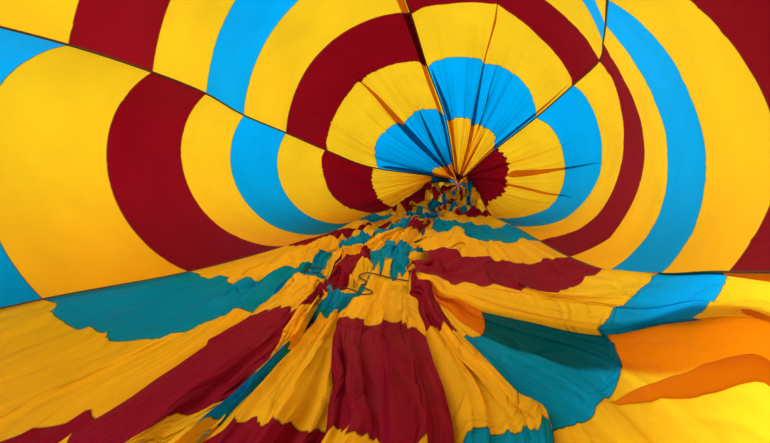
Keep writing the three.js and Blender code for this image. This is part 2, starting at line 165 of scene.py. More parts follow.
# Where the two folded gores on the right meet, each point after its place along
RIGHT_MEETING = [
    (2, 0.33, 13.5, 0.05), (3, 0.13, 12.6, 0.10), (4, 0.0, 11.4, 0.15), (5, 0.07, 10.1, 0.19), (6, 0.15, 8.6, 0.25),
    (7, 0.34, 7.4, 0.29), (8, 0.54, 6.58, 0.32), (8.4, 0.78, 6.03, 0.31), (8.7, 0.93, 5.62, 0.30),
    (9, 1.04, 5.26, 0.29), (9.25, 1.18, 4.91, 0.28), (9.5, 1.29, 4.70, 0.25), (9.75, 1.40, 4.48, 0.22),
    (10, 1.53, 4.34, 0.18), (11, 1.45, 3.0, 0.13), (12, 0.94, 1.27, 0.06),
]
# Floor gores: lines down the cloth, each a point at every ring from the second to the mouth. The first line is by the
# tape on the right, seen from the mouth, and the last by the tape on the left.
FLOORS = [
    {"number": 4, "name": "right_floor_gore", "node": "gore_04_right_floor", "lines": [
        "d",
        [(0.64, 13.5, 0.08), (0.66, 12.5, 0.10), (0.85, 11.25, 0.13), (1.10, 9.68, 0.16), (1.40, 8.10, 0.20),
         (1.60, 6.60, 0.27), (2.04, 5.60, 0.52), (2.17, 4.40, 0.81), (2.10, 3.1, 0.95), (1.75, 2.1, 0.75),
         (1.34, 1.03, 0.54)],
        [(0.56, 13.52, 0.07), (0.42, 12.6, 0.12), (0.48, 11.4, 0.16), (0.68, 9.75, 0.20), (0.90, 8.10, 0.25),
         (1.10, 6.52, 0.30), (1.93, 5.48, 0.43), (2.16, 4.50, 0.72), (2.12, 3.15, 0.9), (1.7, 2.2, 0.55),
         (1.28, 1.14, 0.33)],
        [(2, 0.48, 13.52, 0.06), (3, 0.22, 12.7, 0.13), (4, 0.06, 11.5, 0.18), (5, 0.14, 10.4, 0.22),
         (6, 0.24, 8.55, 0.28), (7, 0.53, 6.70, 0.33), (7.2, 0.80, 6.20, 0.33), (7.4, 1.10, 5.86, 0.33),
         (7.6, 1.38, 5.66, 0.33), (7.8, 1.62, 5.48, 0.34), (8, 1.80, 5.34, 0.36), (8.5, 2.05, 5.14, 0.46),
         (9, 2.12, 4.62, 0.63), (9.5, 2.17, 3.88, 0.82), (10, 2.12, 3.25, 0.84), (11, 1.65, 2.3, 0.35),
         (12, 1.2, 1.27, 0.05)]]},
    {"number": 5, "name": "folded_gore_right", "node": "gore_05_fold", "tuck": (0.14, 0), "lines": [
        [(2, 0.48, 13.5, 0.05), (3, 0.24, 12.6, 0.10), (4, 0.10, 11.5, 0.15), (5, 0.16, 10.2, 0.19),
         (6, 0.26, 8.7, 0.25), (7, 0.46, 7.4, 0.29), (8, 0.56, 6.68, 0.30), (8.5, 0.82, 6.22, 0.30),
         (9, 1.12, 5.88, 0.30), (9.5, 1.48, 5.64, 0.30), (10, 1.84, 5.36, 0.33), (10.2, 2.07, 5.14, 0.45),
         (10.5, 2.16, 4.66, 0.63), (10.8, 2.17, 3.92, 0.835), (11.2, 2.06, 2.9, 0.83), (12, 1.2, 1.27, 0.05)],
        [(0.43, 13.5, 0.06), (0.2, 12.6, 0.10), (0.07, 11.5, 0.15), (0.13, 10.2, 0.20), (0.22, 8.7, 0.26),
         (0.42, 7.4, 0.30), (0.55, 6.62, 0.32), (1.17, 5.52, 0.30), (1.88, 4.97, 0.27), (2.02, 3.0, 0.42),
         (1.12, 1.27, 0.07)],
        [(0.38, 13.5, 0.06), (0.17, 12.6, 0.10), (0.03, 11.5, 0.15), (0.10, 10.2, 0.20), (0.19, 8.65, 0.26),
         (0.38, 7.4, 0.30), (0.53, 6.62, 0.33), (1.16, 5.29, 0.29), (1.73, 4.52, 0.20), (1.8, 2.9, 0.24),
         (1.03, 1.27, 0.07)],
        RIGHT_MEETING]},
    {"number": 6, "name": "folded_gore_right_middle", "node": "gore_06_fold", "tuck": (0, 0.1), "lines": [
        RIGHT_MEETING,
        [(0.25, 13.5, 0.06), (0.10, 12.6, 0.10), (-0.03, 11.4, 0.16), (0.04, 10.05, 0.2), (0.13, 8.6, 0.26),
         (0.32, 7.5, 0.30), (0.52, 6.72, 0.32), (0.93, 5.33, 0.30), (1.36, 4.20, 0.22), (1.25, 2.95, 0.15),
         (0.82, 1.27, 0.07)],
        [(0.18, 13.5, 0.05), (0.06, 12.6, 0.10), (-0.06, 11.4, 0.16), (0.01, 10.0, 0.2), (0.11, 8.6, 0.26),
         (0.30, 7.6, 0.30), (0.50, 6.72, 0.32), (0.84, 5.33, 0.30), (1.17, 4.02, 0.23), (1.05, 2.8, 0.14),
         (0.69, 1.27, 0.06)]]},
    {"number": 7, "name": "folded_gore_middle", "node": "gore_07_fold", "lines": [
        [(0.18, 13.5, 0.05), (0.06, 12.5, 0.11), (-0.06, 11.4, 0.17), (0.05, 10.3, 0.22), (0.16, 9.5, 0.28),
         (0.30, 8.13, 0.31), (0.52, 6.68, 0.335), (0.87, 5.10, 0.33), (1.16, 3.88, 0.26), (1.05, 2.75, 0.15),
         (0.69, 1.27, 0.06)],
        [(0.13, 13.5, 0.06), (0.03, 12.5, 0.12), (-0.10, 11.4, 0.18), (-0.02, 10.5, 0.23), (0.10, 9.3, 0.29),
         (0.20, 8.05, 0.34), (0.42, 6.68, 0.365), (0.66, 5.20, 0.37), (0.98, 3.82, 0.30), (0.88, 2.7, 0.18),
         (0.59, 1.27, 0.08)],
        [(0.07, 13.5, 0.06), (0.0, 12.5, 0.12), (-0.15, 11.4, 0.18), (-0.10, 10.7, 0.23), (0.04, 9.0, 0.29),
         (0.08, 8.0, 0.34), (0.31, 6.78, 0.365), (0.50, 5.05, 0.37), (0.83, 3.85, 0.30), (0.7, 2.7, 0.18),
         (0.5, 1.27, 0.08)],
        [(0.02, 13.5, 0.05), (-0.04, 12.5, 0.11), (-0.2, 11.4, 0.17), (-0.18, 10.8, 0.22), (-0.02, 8.8, 0.28),
         (-0.02, 7.85, 0.32), (0.19, 6.75, 0.335), (0.30, 5.35, 0.32), (0.66, 3.87, 0.25), (0.55, 2.7, 0.15),
         (0.4, 1.27, 0.06)]]},
    {"number": 8, "name": "folded_gore_left_middle", "node": "gore_08_fold", "tuck": (0.1, 0.1), "lines": [
        [(0.02, 13.5, 0.05), (-0.04, 12.4, 0.11), (-0.22, 11.4, 0.18), (-0.02, 9.8, 0.24), (-0.06, 8.1, 0.29),
         (0.10, 7.25, 0.31), (0.20, 6.7, 0.32), (0.27, 5.7, 0.30), (0.62, 4.0, 0.24), (0.5, 2.7, 0.14),
         (0.4, 1.27, 0.06)],
        [(-0.06, 13.5, 0.06), (-0.1, 12.4, 0.12), (-0.36, 10.9, 0.20), (-0.12, 9.3, 0.26), (-0.17, 7.8, 0.32),
         (0.04, 6.7, 0.35), (0.15, 6.15, 0.36), (0.27, 5.4, 0.33), (0.42, 3.84, 0.28), (0.35, 2.6, 0.17),
         (0.25, 1.27, 0.08)],
        [(-0.15, 13.5, 0.05), (-0.16, 12.4, 0.11), (-0.5, 10.3, 0.19), (-0.3, 9.05, 0.24), (-0.28, 7.4, 0.28),
         (-0.04, 6.2, 0.31), (0.07, 5.75, 0.32), (0.18, 5.32, 0.30), (0.21, 3.80, 0.25), (0.2, 2.6, 0.14),
         (0.09, 1.27, 0.06)]]},
    {"number": 9, "name": "folded_gore_left", "node": "gore_09_fold", "tuck": (0, 0.1), "lines": [
        [(-0.15, 13.5, 0.05), (-0.18, 12.4, 0.11), (-0.5, 10.4, 0.18), (-0.45, 9.6, 0.21), (-0.32, 8.6, 0.25),
         (-0.2, 7.4, 0.28), (0.03, 5.9, 0.30), (0.20, 4.82, 0.28), (0.21, 4.0, 0.23), (0.18, 2.6, 0.13),
         (0.09, 1.27, 0.06)],
        [(-0.25, 13.5, 0.06), (-0.24, 12.4, 0.11), (-0.6, 10.35, 0.19), (-0.6, 9.6, 0.22), (-0.43, 8.4, 0.26),
         (-0.25, 7.15, 0.29), (0.05, 5.6, 0.32), (0.19, 4.6, 0.30), (0.17, 3.95, 0.25), (0.08, 2.58, 0.15),
         (-0.06, 1.27, 0.08)],
        [(-0.36, 13.5, 0.05), (-0.3, 12.4, 0.1), (-0.68, 10.3, 0.17), (-0.75, 9.5, 0.2), (-0.55, 8.2, 0.23),
         (-0.3, 6.9, 0.26), (0.08, 5.25, 0.30), (0.16, 4.4, 0.27), (0.12, 3.95, 0.22), (0.0, 2.55, 0.13),
         (-0.22, 1.28, 0.05)]]},
    {"number": 10, "name": "folded_gore_far_left", "node": "gore_10_fold", "tuck": (0, 0.2), "lines": [
        [(-0.36, 13.5, 0.05), (-0.3, 12.4, 0.1), (-0.66, 10.6, 0.17), (-0.68, 9.3, 0.2), (-0.5, 8.1, 0.24),
         (-0.3, 6.95, 0.28), (0.09, 5.35, 0.31), (0.14, 4.20, 0.28), (0.205, 3.88, 0.27), (0.02, 2.5, 0.15),
         (-0.22, 1.28, 0.05)],
        [(-0.46, 13.5, 0.06), (-0.4, 12.4, 0.11), (-0.72, 10.6, 0.18), (-0.71, 9.25, 0.21), (-0.55, 8.05, 0.26),
         (-0.37, 6.9, 0.30), (-0.08, 5.50, 0.34), (-0.02, 3.58, 0.27), (-0.05, 3.42, 0.25), (-0.18, 2.4, 0.16),
         (-0.36, 1.28, 0.07)],
        [(-0.57, 13.45, 0.07), (-0.48, 12.4, 0.11), (-0.78, 10.55, 0.18), (-0.75, 9.2, 0.21), (-0.62, 8.05, 0.25),
         (-0.44, 7.0, 0.29), (-0.2, 5.42, 0.34), (-0.23, 3.58, 0.25), (-0.3, 2.9, 0.19), (-0.38, 2.0, 0.14),
         (-0.5, 1.29, 0.06)],
        [(-0.68, 13.4, 0.08), (-0.56, 12.4, 0.1), (-0.84, 10.5, 0.17), (-0.8, 9.2, 0.19), (-0.7, 8.2, 0.22),
         (-0.5, 7.2, 0.25), (-0.33, 5.4, 0.27), (-0.4, 3.88, 0.21), (-0.46, 2.9, 0.16), (-0.54, 2.0, 0.12),
         (-0.64, 1.29, 0.03)]]},
    {"number": 11, "name": "left_floor_gore", "node": "gore_11_left_floor", "tuck": (0.12, 0), "lines": [
        [(-0.68, 13.4, 0.08), (-0.62, 12.4, 0.1), (-0.95, 11.6, 0.15), (-0.9, 10.6, 0.18), (-0.86, 9.1, 0.21),
         (-0.66, 7.6, 0.23), (-0.5, 5.8, 0.25), (-0.44, 4.0, 0.21), (-0.48, 2.9, 0.16), (-0.56, 2.0, 0.12),
         (-0.64, 1.29, 0.03)],
        [(-0.78, 13.4, 0.08), (-0.76, 12.4, 0.1), (-1.0, 11.5, 0.15), (-0.95, 10.4, 0.17), (-0.95, 8.95, 0.18),
         (-0.84, 6.8, 0.2), (-0.75, 5.28, 0.18), (-0.95, 3.8, 0.13), (-0.9, 2.85, 0.1), (-0.85, 2.0, 0.09),
         (-0.8, 1.24, 0.1)],
        [(-0.9, 13.45, 0.1), (-0.94, 12.4, 0.12), (-1.06, 11.4, 0.15), (-1.03, 10.2, 0.16), (-1.08, 8.75, 0.17),
         (-1.2, 6.9, 0.16), (-1.35, 5.33, 0.12), (-1.6, 4.0, 0.12), (-1.5, 2.95, 0.15), (-1.3, 2.0, 0.22),
         (-1.05, 1.12, 0.3)],
        "l"]},
]
# The tapes under the folds on the floor, and each one's share of the heap's height and of the slack cloth's slide
HIDDEN_TAPES = "efghijk"
HEAP_SHARE = (0.6, 0.9, 1.0, 1.0, 0.9, 0.6, 0.25)
SLIDE_SHARE = (0.7, 0.95, 1.0, 1.0, 0.9, 0.6, 0.4)
# The ring seams there, from the second to the mouth: place along, how high the folds heap up, how far slack cloth has
# slid to the crown, share of the mouth's lean, and where each of these tapes is across
FOLD_RINGS = [
    (13.45, 0.04, 0.0, 0.0, (0.48, 0.33, 0.18, 0.02, -0.15, -0.36, -0.68)),
    (12.3, 0.08, 0.1, 0.0, (0.62, 0.43, 0.26, 0.09, -0.09, -0.32, -0.68)),
    (11.0, 0.12, 0.2, 0.0, (0.8, 0.53, 0.34, 0.14, -0.03, -0.22, -0.52)),
    (9.65, 0.15, 0.25, 0.0, (0.88, 0.56, 0.36, 0.14, -0.03, -0.22, -0.57)),
    (8.3, 0.19, 0.25, 0.0, (0.82, 0.56, 0.37, 0.12, -0.04, -0.2, -0.62)),
    (6.95, 0.25, 0.35, 0.0, (0.85, 0.61, 0.43, 0.13, -0.02, -0.18, -0.56)),
    (5.6, 0.3, 0.7, 0.0, (1.25, 0.78, 0.58, 0.19, 0.02, -0.13, -0.42)),
    (4.25, 0.3, 1.0, 0.0, (1.65, 1.08, 0.84, 0.32, 0.12, -0.06, -0.38)),
    (2.9, 0.26, 0.74, 0.33, (1.7, 1.38, 1.14, 0.64, 0.26, 0.03, -0.42)),
    (1.55, 0.16, 0.36, 0.67, (1.62, 1.25, 0.96, 0.56, 0.2, -0.09, -0.56)),
    (0.2, 0.06, 0.0, 1.0, (1.2, 0.94, 0.69, 0.4, 0.09, -0.22, -0.64)),
]
# The mouth's top and how far it leans for each metre below, and how low the folds and the tapes under them lie
MOUTH_TOP = 2.12
MOUTH_LEAN = 0.52
FOLDS_LOW = 0.01
HIDDEN_LOW = 0.012
# Crown ring and neck circles, which the floor gores share
CROWN = {"x": -0.01, "y": 15.3, "z": 0.45, "r": 0.12}
NECK = {"x": -0.01, "y": 14.48, "z": 0.5, "r": 0.42}
NECK_TURNS = {"d": -5, "e": -32, "f": -55, "g": -76, "h": -96, "i": -117, "j": -138, "k": -160, "l": -184}
CROWN_TURNS = {"d": 30, "e": 0, "f": -30, "g": -60, "h": -90, "i": -120, "j": -150, "k": -180, "l": -210}
WALL_TURNS = {"la": (150, 120), "ab": (120, 90), "bc": (90, 60), "cd": (60, 30)}
FLOOR_TAPES = {4: "de", 5: "ef", 6: "fg", 7: "gh", 8: "hi", 9: "ij", 10: "jk", 11: "kl"}

# Folds along each floor gore: how many broad ones and how high they stand, how far the ring seams step at them, and
# how many fine creases there are
FOLDS = {
    4: {"broad": 9, "height": 0.05, "step": 0.11, "fine": 80, "rows": (1.0, 3.0, 7.0, 8.5)},
    5: {"broad": 6, "height": 0.03, "step": 0.06, "fine": 60, "rows": (1.0, 3.0, 9.0, 11.0)},
    6: {"broad": 7, "height": 0.04, "step": 0.11, "fine": 50, "rows": (1.0, 3.0, 10.5, 11.5)},
    7: {"broad": 9, "height": 0.07, "step": 0.18, "fine": 60, "rows": (1.0, 3.0, 10.5, 11.5)},
    8: {"broad": 9, "height": 0.055, "step": 0.12, "fine": 60, "rows": (1.0, 3.0, 10.5, 11.5)},
    9: {"broad": 6, "height": 0.045, "step": 0.12, "fine": 50, "rows": (1.0, 3.0, 10.5, 11.5)},
    10: {"broad": 9, "height": 0.035, "step": 0.12, "fine": 70, "rows": (1.0, 3.0, 10.5, 11.5)},
    11: {"broad": 9, "height": 0.035, "step": 0.08, "fine": 70, "rows": (1.0, 3.0, 9.0, 11.5)},
}
# The narrow pleats behind each floor gore, how far apart they start and how far behind the cloth that shows
PLEATS = 20
PLEAT_APART = 0.003
PLEAT_BEHIND = 0.01
# The lowest that cloth lies where it shows, where it is tucked under a neighbour, and in the pleats
SHOWN_LOW = 0.012
TUCKED_LOW = 0.006
PLEAT_LOW = 0.004
# Extra columns of cloth tucked under a neighbour, as shares of how far it goes on
TUCKED_SHARES = (0.33, 0.66, 1.0)
# Painted shade on a floor gore where less light comes through it: place along, and from where to where across
PAINTED_SHADE_PATCHES = {
    5: [[(8.0, -0.1, 0.85), (9.0, -0.1, 0.66), (9.25, -0.1, 0.6), (9.5, -0.1, 0.545), (9.7, -0.1, 0.515),
         (10.0, -0.1, 0.37), (10.15, -0.1, 0.29), (10.5, -0.1, 0.17), (10.8, -0.1, 0.1), (11.2, -0.1, 0.09)]],
}
# A flat fold on a floor gore: place along, share across and half width
FLOOR_TUCKS = {
    4: [(12.0, 0.02, 0.018), (9.5, 0.015, 0.014), (8.6, 0.012, 0.011), (7.8, 0.01, 0.007), (7.0, 0.005, 0.0)],
    5: [(11.3, 0.075, 0.02), (10.78, 0.11, 0.025), (10.65, 0.145, 0.032), (10.5, 0.195, 0.042), (10.3, 0.3, 0.05),
        (10.1, 0.475, 0.042), (9.98, 0.66, 0.0)],
}

# Points along the loose control line, across, along and up, where it lies over the folds
LINE = [
    (-0.38, 7.49, 0.20), (-0.45, 7.43, 0.22), (-0.54, 7.45, 0.22), (-0.60, 7.43, 0.20), (-0.58, 7.34, 0.20),
    (-0.49, 7.32, 0.20), (-0.40, 7.25, 0.21), (-0.28, 7.00, 0.22), (-0.20, 6.81, 0.22), (-0.13, 6.65, 0.22),
    (-0.03, 6.57, 0.24), (0.04, 6.53, 0.25), (0.16, 6.32, 0.28), (0.21, 6.20, 0.30), (0.26, 6.14, 0.30),
    (0.31, 6.17, 0.30), (0.31, 6.24, 0.30), (0.25, 6.29, 0.31), (0.20, 6.35, 0.32), (0.21, 6.44, 0.31),
    (0.19, 6.54, 0.31), (0.13, 6.60, 0.32), (0.11, 6.66, 0.33), (0.15, 6.71, 0.34), (0.22, 6.67, 0.345),
    (0.31, 6.60, 0.345), (0.39, 6.53, 0.345), (0.47, 6.49, 0.345), (0.54, 6.47, 0.34),
]
# The middle of the line, and where an eye at the mouth is, across and along
LINE_MIDDLE = (0.2, 6.6)
MOUTH_EYE = (1.4, 1.5)


def through(nodes, s, at=None):
    """Points of a smooth curve through the nodes, at the places s. Nodes count 0, 1, 2... or have the places in at."""
    nodes = np.asarray(nodes, float)
    if nodes.ndim == 1:
        return through(nodes[:, None], s, at)[..., 0]
    if at is not None:
        s = np.interp(s, at, np.arange(len(at)))
    s = np.clip(np.asarray(s, float), 0, len(nodes) - 1)
    padded = np.vstack([2 * nodes[0] - nodes[1], nodes, 2 * nodes[-1] - nodes[-2]])
    i = np.minimum(s.astype(int), len(nodes) - 2)
    f = (s - i)[:, None]
    p0, p1, p2, p3 = (padded[i + k] for k in range(4))
    return 0.5 * (2 * p1 + (p2 - p0) * f + (2 * p0 - 5 * p1 + 4 * p2 - p3) * f ** 2
                  + (3 * p1 - p0 - 3 * p2 + p3) * f ** 3)


def smooth_step(x, low, high):
    """Rises from 0 at low to 1 at high, or falls where high is the lower."""
    t = np.clip((x - low) / (high - low), 0, 1)
    return t * t * (3 - 2 * t)


def unit(v):
    """Vectors of length 1."""
    return v / np.maximum(np.linalg.norm(v, axis=-1, keepdims=True), 1e-9)


def face_out(grid):
    """Unit normals of a grid of points."""
    down = np.gradient(grid, axis=0)
    across = np.gradient(grid, axis=1)
    return unit(np.cross(across, down))


def places(per_row):
    """Places along a gore from the crown ring, 0, to the mouth, in rows of panels."""
    return np.linspace(0, ROWS, ROWS * per_row + 1)


def cut_width(s):
    """Width of a gore as cut at the places s."""
    return through(CUT_WIDTH, s)


def between(grid, where):
    """Points between the columns of a grid, one for each of its rows."""
    low = np.minimum(where.astype(int), grid.shape[1] - 2)
    mix = (where - low)[:, None]
    row = np.arange(len(grid))
    return grid[row, low] * (1 - mix) + grid[row, low + 1] * mix


def run_across(grid):
    """How far each point of a grid lies from the first of its row, along the row."""
    steps = np.linalg.norm(np.diff(grid, axis=1), axis=-1)
    return np.concatenate([np.zeros((len(grid), 1)), np.cumsum(steps, 1)], 1)


def stand_for(obj, node):
    """Hides the solid that a piece stands for, and puts the piece on the one body."""
    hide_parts(node)
    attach(obj, "root")


def grid_mesh(name, pieces, colours, materials, slack):
    """A sheet of quads over grids of points, coloured by row, with its cut in metres as its UV map. Each piece is its
    points, the place along the cloth of each of its rows, how far across the cut each point lies, and how much painted
    shade darkens it."""
    points, quads, slots, cuts, shades = [], [], [], [], []
    first = 0
    for grid, s, width, doubled in pieces:
        n, m = grid.shape[:2]
        index = np.arange(n * m).reshape(n, m) + first
        quads.append(np.stack([index[:-1, :-1], index[1:, :-1], index[1:, 1:], index[:-1, 1:]], -1).reshape(-1, 4))
        row = np.clip(((s[:-1] + s[1:]) / 2).astype(int), 0, ROWS - 1)
        slots.append(np.repeat([colours[r] for r in row], m - 1))
        points.append(grid.reshape(-1, 3))
        cuts.append(np.stack([width, np.repeat(s[:, None] * ROW_LENGTH, m, 1)], -1).reshape(-1, 2))
        shades.append(np.broadcast_to(doubled, (n, m)).ravel())
        first += n * m
    points, quads, slots, cuts, shades = (np.concatenate(part) for part in (points, quads, slots, cuts, shades))
    mesh = bpy.data.meshes.new(name)
    mesh.vertices.add(len(points))
    mesh.vertices.foreach_set("co", (points + SHIFT).astype(np.float32).ravel())
    mesh.loops.add(quads.size)
    mesh.loops.foreach_set("vertex_index", quads.ravel().astype(np.int32))
    mesh.polygons.add(len(quads))
    mesh.polygons.foreach_set("loop_start", np.arange(0, quads.size, 4, dtype=np.int32))
    mesh.polygons.foreach_set("material_index", slots.astype(np.int32))
    mesh.polygons.foreach_set("use_smooth", np.ones(len(quads), bool))
    mesh.update(calc_edges=True)
    layer = mesh.uv_layers.new(name="cut")
    layer.data.foreach_set("uv", cuts[quads.ravel()].astype(np.float32).ravel())
    # Painted shade, from 0 to 1 at each point, which the cloth material mixes into its colours
    painted_shade_layer = mesh.attributes.new("doubled", "FLOAT", "POINT")
    painted_shade_layer.data.foreach_set("value", shades.astype(np.float32))
    creases = mesh.attributes.new("slack", "FLOAT", "POINT")
    creases.data.foreach_set("value", np.full(len(points), slack, np.float32))
    for material in materials:
        mesh.materials.append(material)
    obj = bpy.data.objects.new(name, mesh)
    bpy.context.scene.collection.objects.link(obj)
    return obj


def row_colours(number):
    """Which of yellow, red and blue each row of a gore has, from the crown."""
    names = list(CLOTHS)
    return [names.index(PANEL_ORDER[(row - number) % 4]) for row in range(ROWS)]


def wall_grid(wall, s, t):
    """The taut surface of a wall gore between its two tapes."""
    p = through(ARCH_TAPES[wall["tapes"][0]], s)
    q = through(ARCH_TAPES[wall["tapes"][1]], s)
    bow = np.maximum(through(wall["bow"], s), 0.01)
    span = q - p
    chord = np.linalg.norm(span, axis=1)
    side = unit(span * np.array([1, 0, 1]))
    out = np.stack([-side[:, 2], 0 * chord, side[:, 0]], -1)
    sag = bow * chord
    radius = chord ** 2 / 8 / sag + sag / 2
    half = np.arcsin(np.minimum(chord / 2 / radius, 1))
    turn = half[:, None] * (2 * t[None, :] - 1)
    along = 0.5 + radius[:, None] * np.sin(turn) / chord[:, None]
    lift = radius[:, None] * (np.cos(turn) - np.cos(half)[:, None])
    return p[:, None] + along[..., None] * span[:, None] + lift[..., None] * out[:, None]


def gathers(number, s, t, width):
    """Gathers that run out from the crown ring, dense by the ring and dying away down the gore, and painted shade
    beside each of them."""
    rng = np.random.default_rng(40 + number)
    relief = np.zeros((len(s), len(t)))
    shade = np.zeros((len(s), len(t)))
    for n in range(GATHERS):
        place = rng.uniform(0.02, 0.98)
        reach = 1.5 + 3.0 * rng.random() ** 1.6
        depth = rng.uniform(0.006, 0.024) * (1.5 if n < 12 else 1)
        lean = rng.normal(0, 0.008)
        spread = rng.uniform(0.006, 0.02)
        x = (t[None, :] - place - lean * s[:, None]) * width[:, None] / spread
        fade = (smooth_step(s, 0.0, 0.4) * (1 - smooth_step(s, reach * 0.45, reach)))[:, None]
        relief += depth * fade * np.exp(-x * x) * rng.choice([-1, 1], p=[0.65, 0.35])
        # Painted shade on one side of each gather
        shade += rng.uniform(0.05, 0.3) * fade * np.exp(-2 * (x - 0.7) ** 2)
    return relief, np.clip(shade, 0, 0.8)


def seam_shift(wall, s, t):
    """How far towards the crown the cloth sits, in rows, where the ring seams of a wall gore are pulled or slack."""
    rings = np.zeros((ROWS + 1, len(t)))
    for ring, shape in wall["seams"].items():
        share, shift = zip(*shape)
        rings[ring] = np.interp(t, share, shift)
    ripple = 0.03 if wall["number"] == 3 else 0.006
    rings[:3] += ripple * np.sin(t * 2 * math.pi * 13 + wall["number"]) * np.array([[0], [0.7], [1]])
    return through(rings, s)


def sways(number, s, t, width):
    """Long shallow waves and short puckers by the ring seams, over the whole gore."""
    rng = np.random.default_rng(140 + number)
    relief = np.zeros((len(s), len(t)))
    for _ in range(14):
        place, size = rng.uniform(0.05, 0.95), rng.uniform(0.05, 0.3)
        x = (t[None, :] - place - 0.02 * drift(rng, s, 1.0)[:, None]) * width[:, None] / size
        relief += 0.02 * size * (np.clip(drift(rng, s, 1.0), -1, 1) * smooth_step(s, 1, 3))[:, None] * np.exp(-x * x)
    for _ in range(90):
        ring, place = rng.integers(2, 12), rng.uniform(0.03, 0.97)
        length, size = rng.uniform(0.06, 0.2), rng.uniform(0.012, 0.03)
        x = (t[None, :] - place) * width[:, None] / size
        relief += rng.uniform(0.002, 0.004) * np.exp(-((s - ring) / length) ** 2)[:, None] * np.exp(-x * x)
    return relief


def tuck_strip(tuck, grid, normal, s, width, doubled):
    """A flat fold of cloth laid double on the inside of a gore, narrow where it starts and wider to the crown, as
    a piece of the gore's mesh, with the painted shade it is given."""
    along, centre, half = (np.array(c, float) for c in zip(*tuck))
    middle = np.interp(s, along[::-1], centre[::-1])
    wide = np.interp(s, along[::-1], half[::-1])
    shown = (s >= along.min()) & (s <= along.max())
    wide = np.where(shown, wide, 0.0)
    edge = smooth_step(s, along.min(), along.min() + 0.3) if along.min() > 0.1 else np.ones(len(s))
    last = grid.shape[1] - 1
    columns = []
    for side, lift in TUCK_SECTION:
        where = np.clip(middle + side * wide / width, 0.001, 0.999) * last
        face = normal[np.arange(len(s)), np.minimum(where.astype(int), last - 1)]
        columns.append(between(grid, where) + face * (lift * edge)[:, None])
    keep = np.nonzero(shown)[0]
    strip = np.stack(columns, 1)[keep]
    return strip, s[keep], run_across(strip), doubled


def gathered_end(first, last, number):
    """The end of a gore where it is gathered and tied inside the crown ring: its points, places, cut, and full painted
    shade that darkens the hole in the ring.
    """
    rng = np.random.default_rng(240 + number)
    t = np.linspace(0, 1, 13)
    turn = np.radians(first + (last - first) * t)
    s = np.linspace(0, 0.1, 9)
    out = np.linspace(0.04, 1, 9)
    wave = np.sin(t * math.pi * 6 + rng.uniform(0, 6)) * rng.uniform(0.5, 1, len(t))
    radius = CROWN["r"] * out
    bulge = 0.2 * (1 - out ** 1.5)[:, None] + 0.012 * np.sin(out * math.pi)[:, None] * wave[None, :]
    grid = np.stack([CROWN["x"] + radius[:, None] * np.cos(turn), CROWN["y"] + bulge,
                     CROWN["z"] + radius[:, None] * np.sin(turn)], -1)
    return grid, s, np.repeat((t * 0.3)[None, :], 9, 0), 1.0


def build_wall(wall, materials):
    """One wall gore, between its tapes."""
    number = wall["number"] % 12
    s = places(WALL_STEPS)
    t = np.linspace(0, 1, WALL_ACROSS)
    width = cut_width(s)
    pull = seam_shift(wall, s, t)
    plain = wall_grid(wall, s, t)
    grid = np.empty_like(plain)
    for i in range(len(t)):
        at = np.clip(s - pull[:, i], 0, ROWS)
        grid[:, i] = wall_grid(wall, at, t[i:i + 1])[:, 0]
    normal = face_out(plain)
    relief, shade = gathers(wall["number"], s, t, width)
    relief += sways(wall["number"], s, t, width)
    edge = np.minimum(t, 1 - t)[None, :] * width[:, None]
    relief *= smooth_step(edge, 0.0, 0.05)
    grid = grid + normal * relief[..., None]
    cut = (t[None, :] - 0.5) * width[:, None]
    # Near the floor less light comes through the cloth
    if wall["number"] == 12:
        shade = np.maximum(shade, 0.45 * (1 - smooth_step(t, 0, 0.6)))
    if wall["number"] == 3:
        shade = np.maximum(shade, 0.4 * smooth_step(t, 0.5, 1))
    pieces = [(grid, s, cut, shade)]
    # The flat folds get painted shade, on top of the darkening that their two layers give
    pieces += [tuck_strip(tuck, grid, normal, s, width, 0.85) for tuck in wall["tucks"]]
    pieces.append(gathered_end(*WALL_TURNS[wall["tapes"]], number))
    obj = grid_mesh(wall["name"], pieces, row_colours(number), materials, 0.12)
    stand_for(obj, wall["node"])
    return obj


def circle_point(circle, degrees):
    """A point of the crown ring or neck circle."""
    a = math.radians(degrees)
    return (circle["x"] + circle["r"] * math.cos(a), circle["y"], circle["z"] + circle["r"] * math.sin(a))


def floor_lines(gore, s):
    """Each line of a floor gore at the places s, from the crown ring on."""
    first, last = FLOOR_TAPES[gore["number"]]
    lines = []
    count = len(gore["lines"])
    for i, line in enumerate(gore["lines"]):
        share = i / (count - 1)
        if isinstance(line, str):
            lines.append(through(ARCH_TAPES[line], s))
            continue
        start = circle_point(CROWN, CROWN_TURNS[first] + share * (CROWN_TURNS[last] - CROWN_TURNS[first]))
        neck = circle_point(NECK, NECK_TURNS[first] + share * (NECK_TURNS[last] - NECK_TURNS[first]))
        nodes = [(0, *start), (1, *neck)]
        nodes += [node if len(node) == 4 else (k + 2, *node) for k, node in enumerate(line)]
        nodes = np.array(nodes, float)
        lines.append(through(nodes[:, 1:], s, nodes[:, 0]))
    return lines


def drift(rng, s, size, slowest=0.35, fastest=1.3):
    """A slow random wave along the cloth, between about -size and size."""
    wave = sum(np.sin(s * rng.uniform(slowest, fastest) * k + rng.uniform(0, 2 * math.pi)) / k for k in (1, 2, 3))
    return size * wave / 1.5


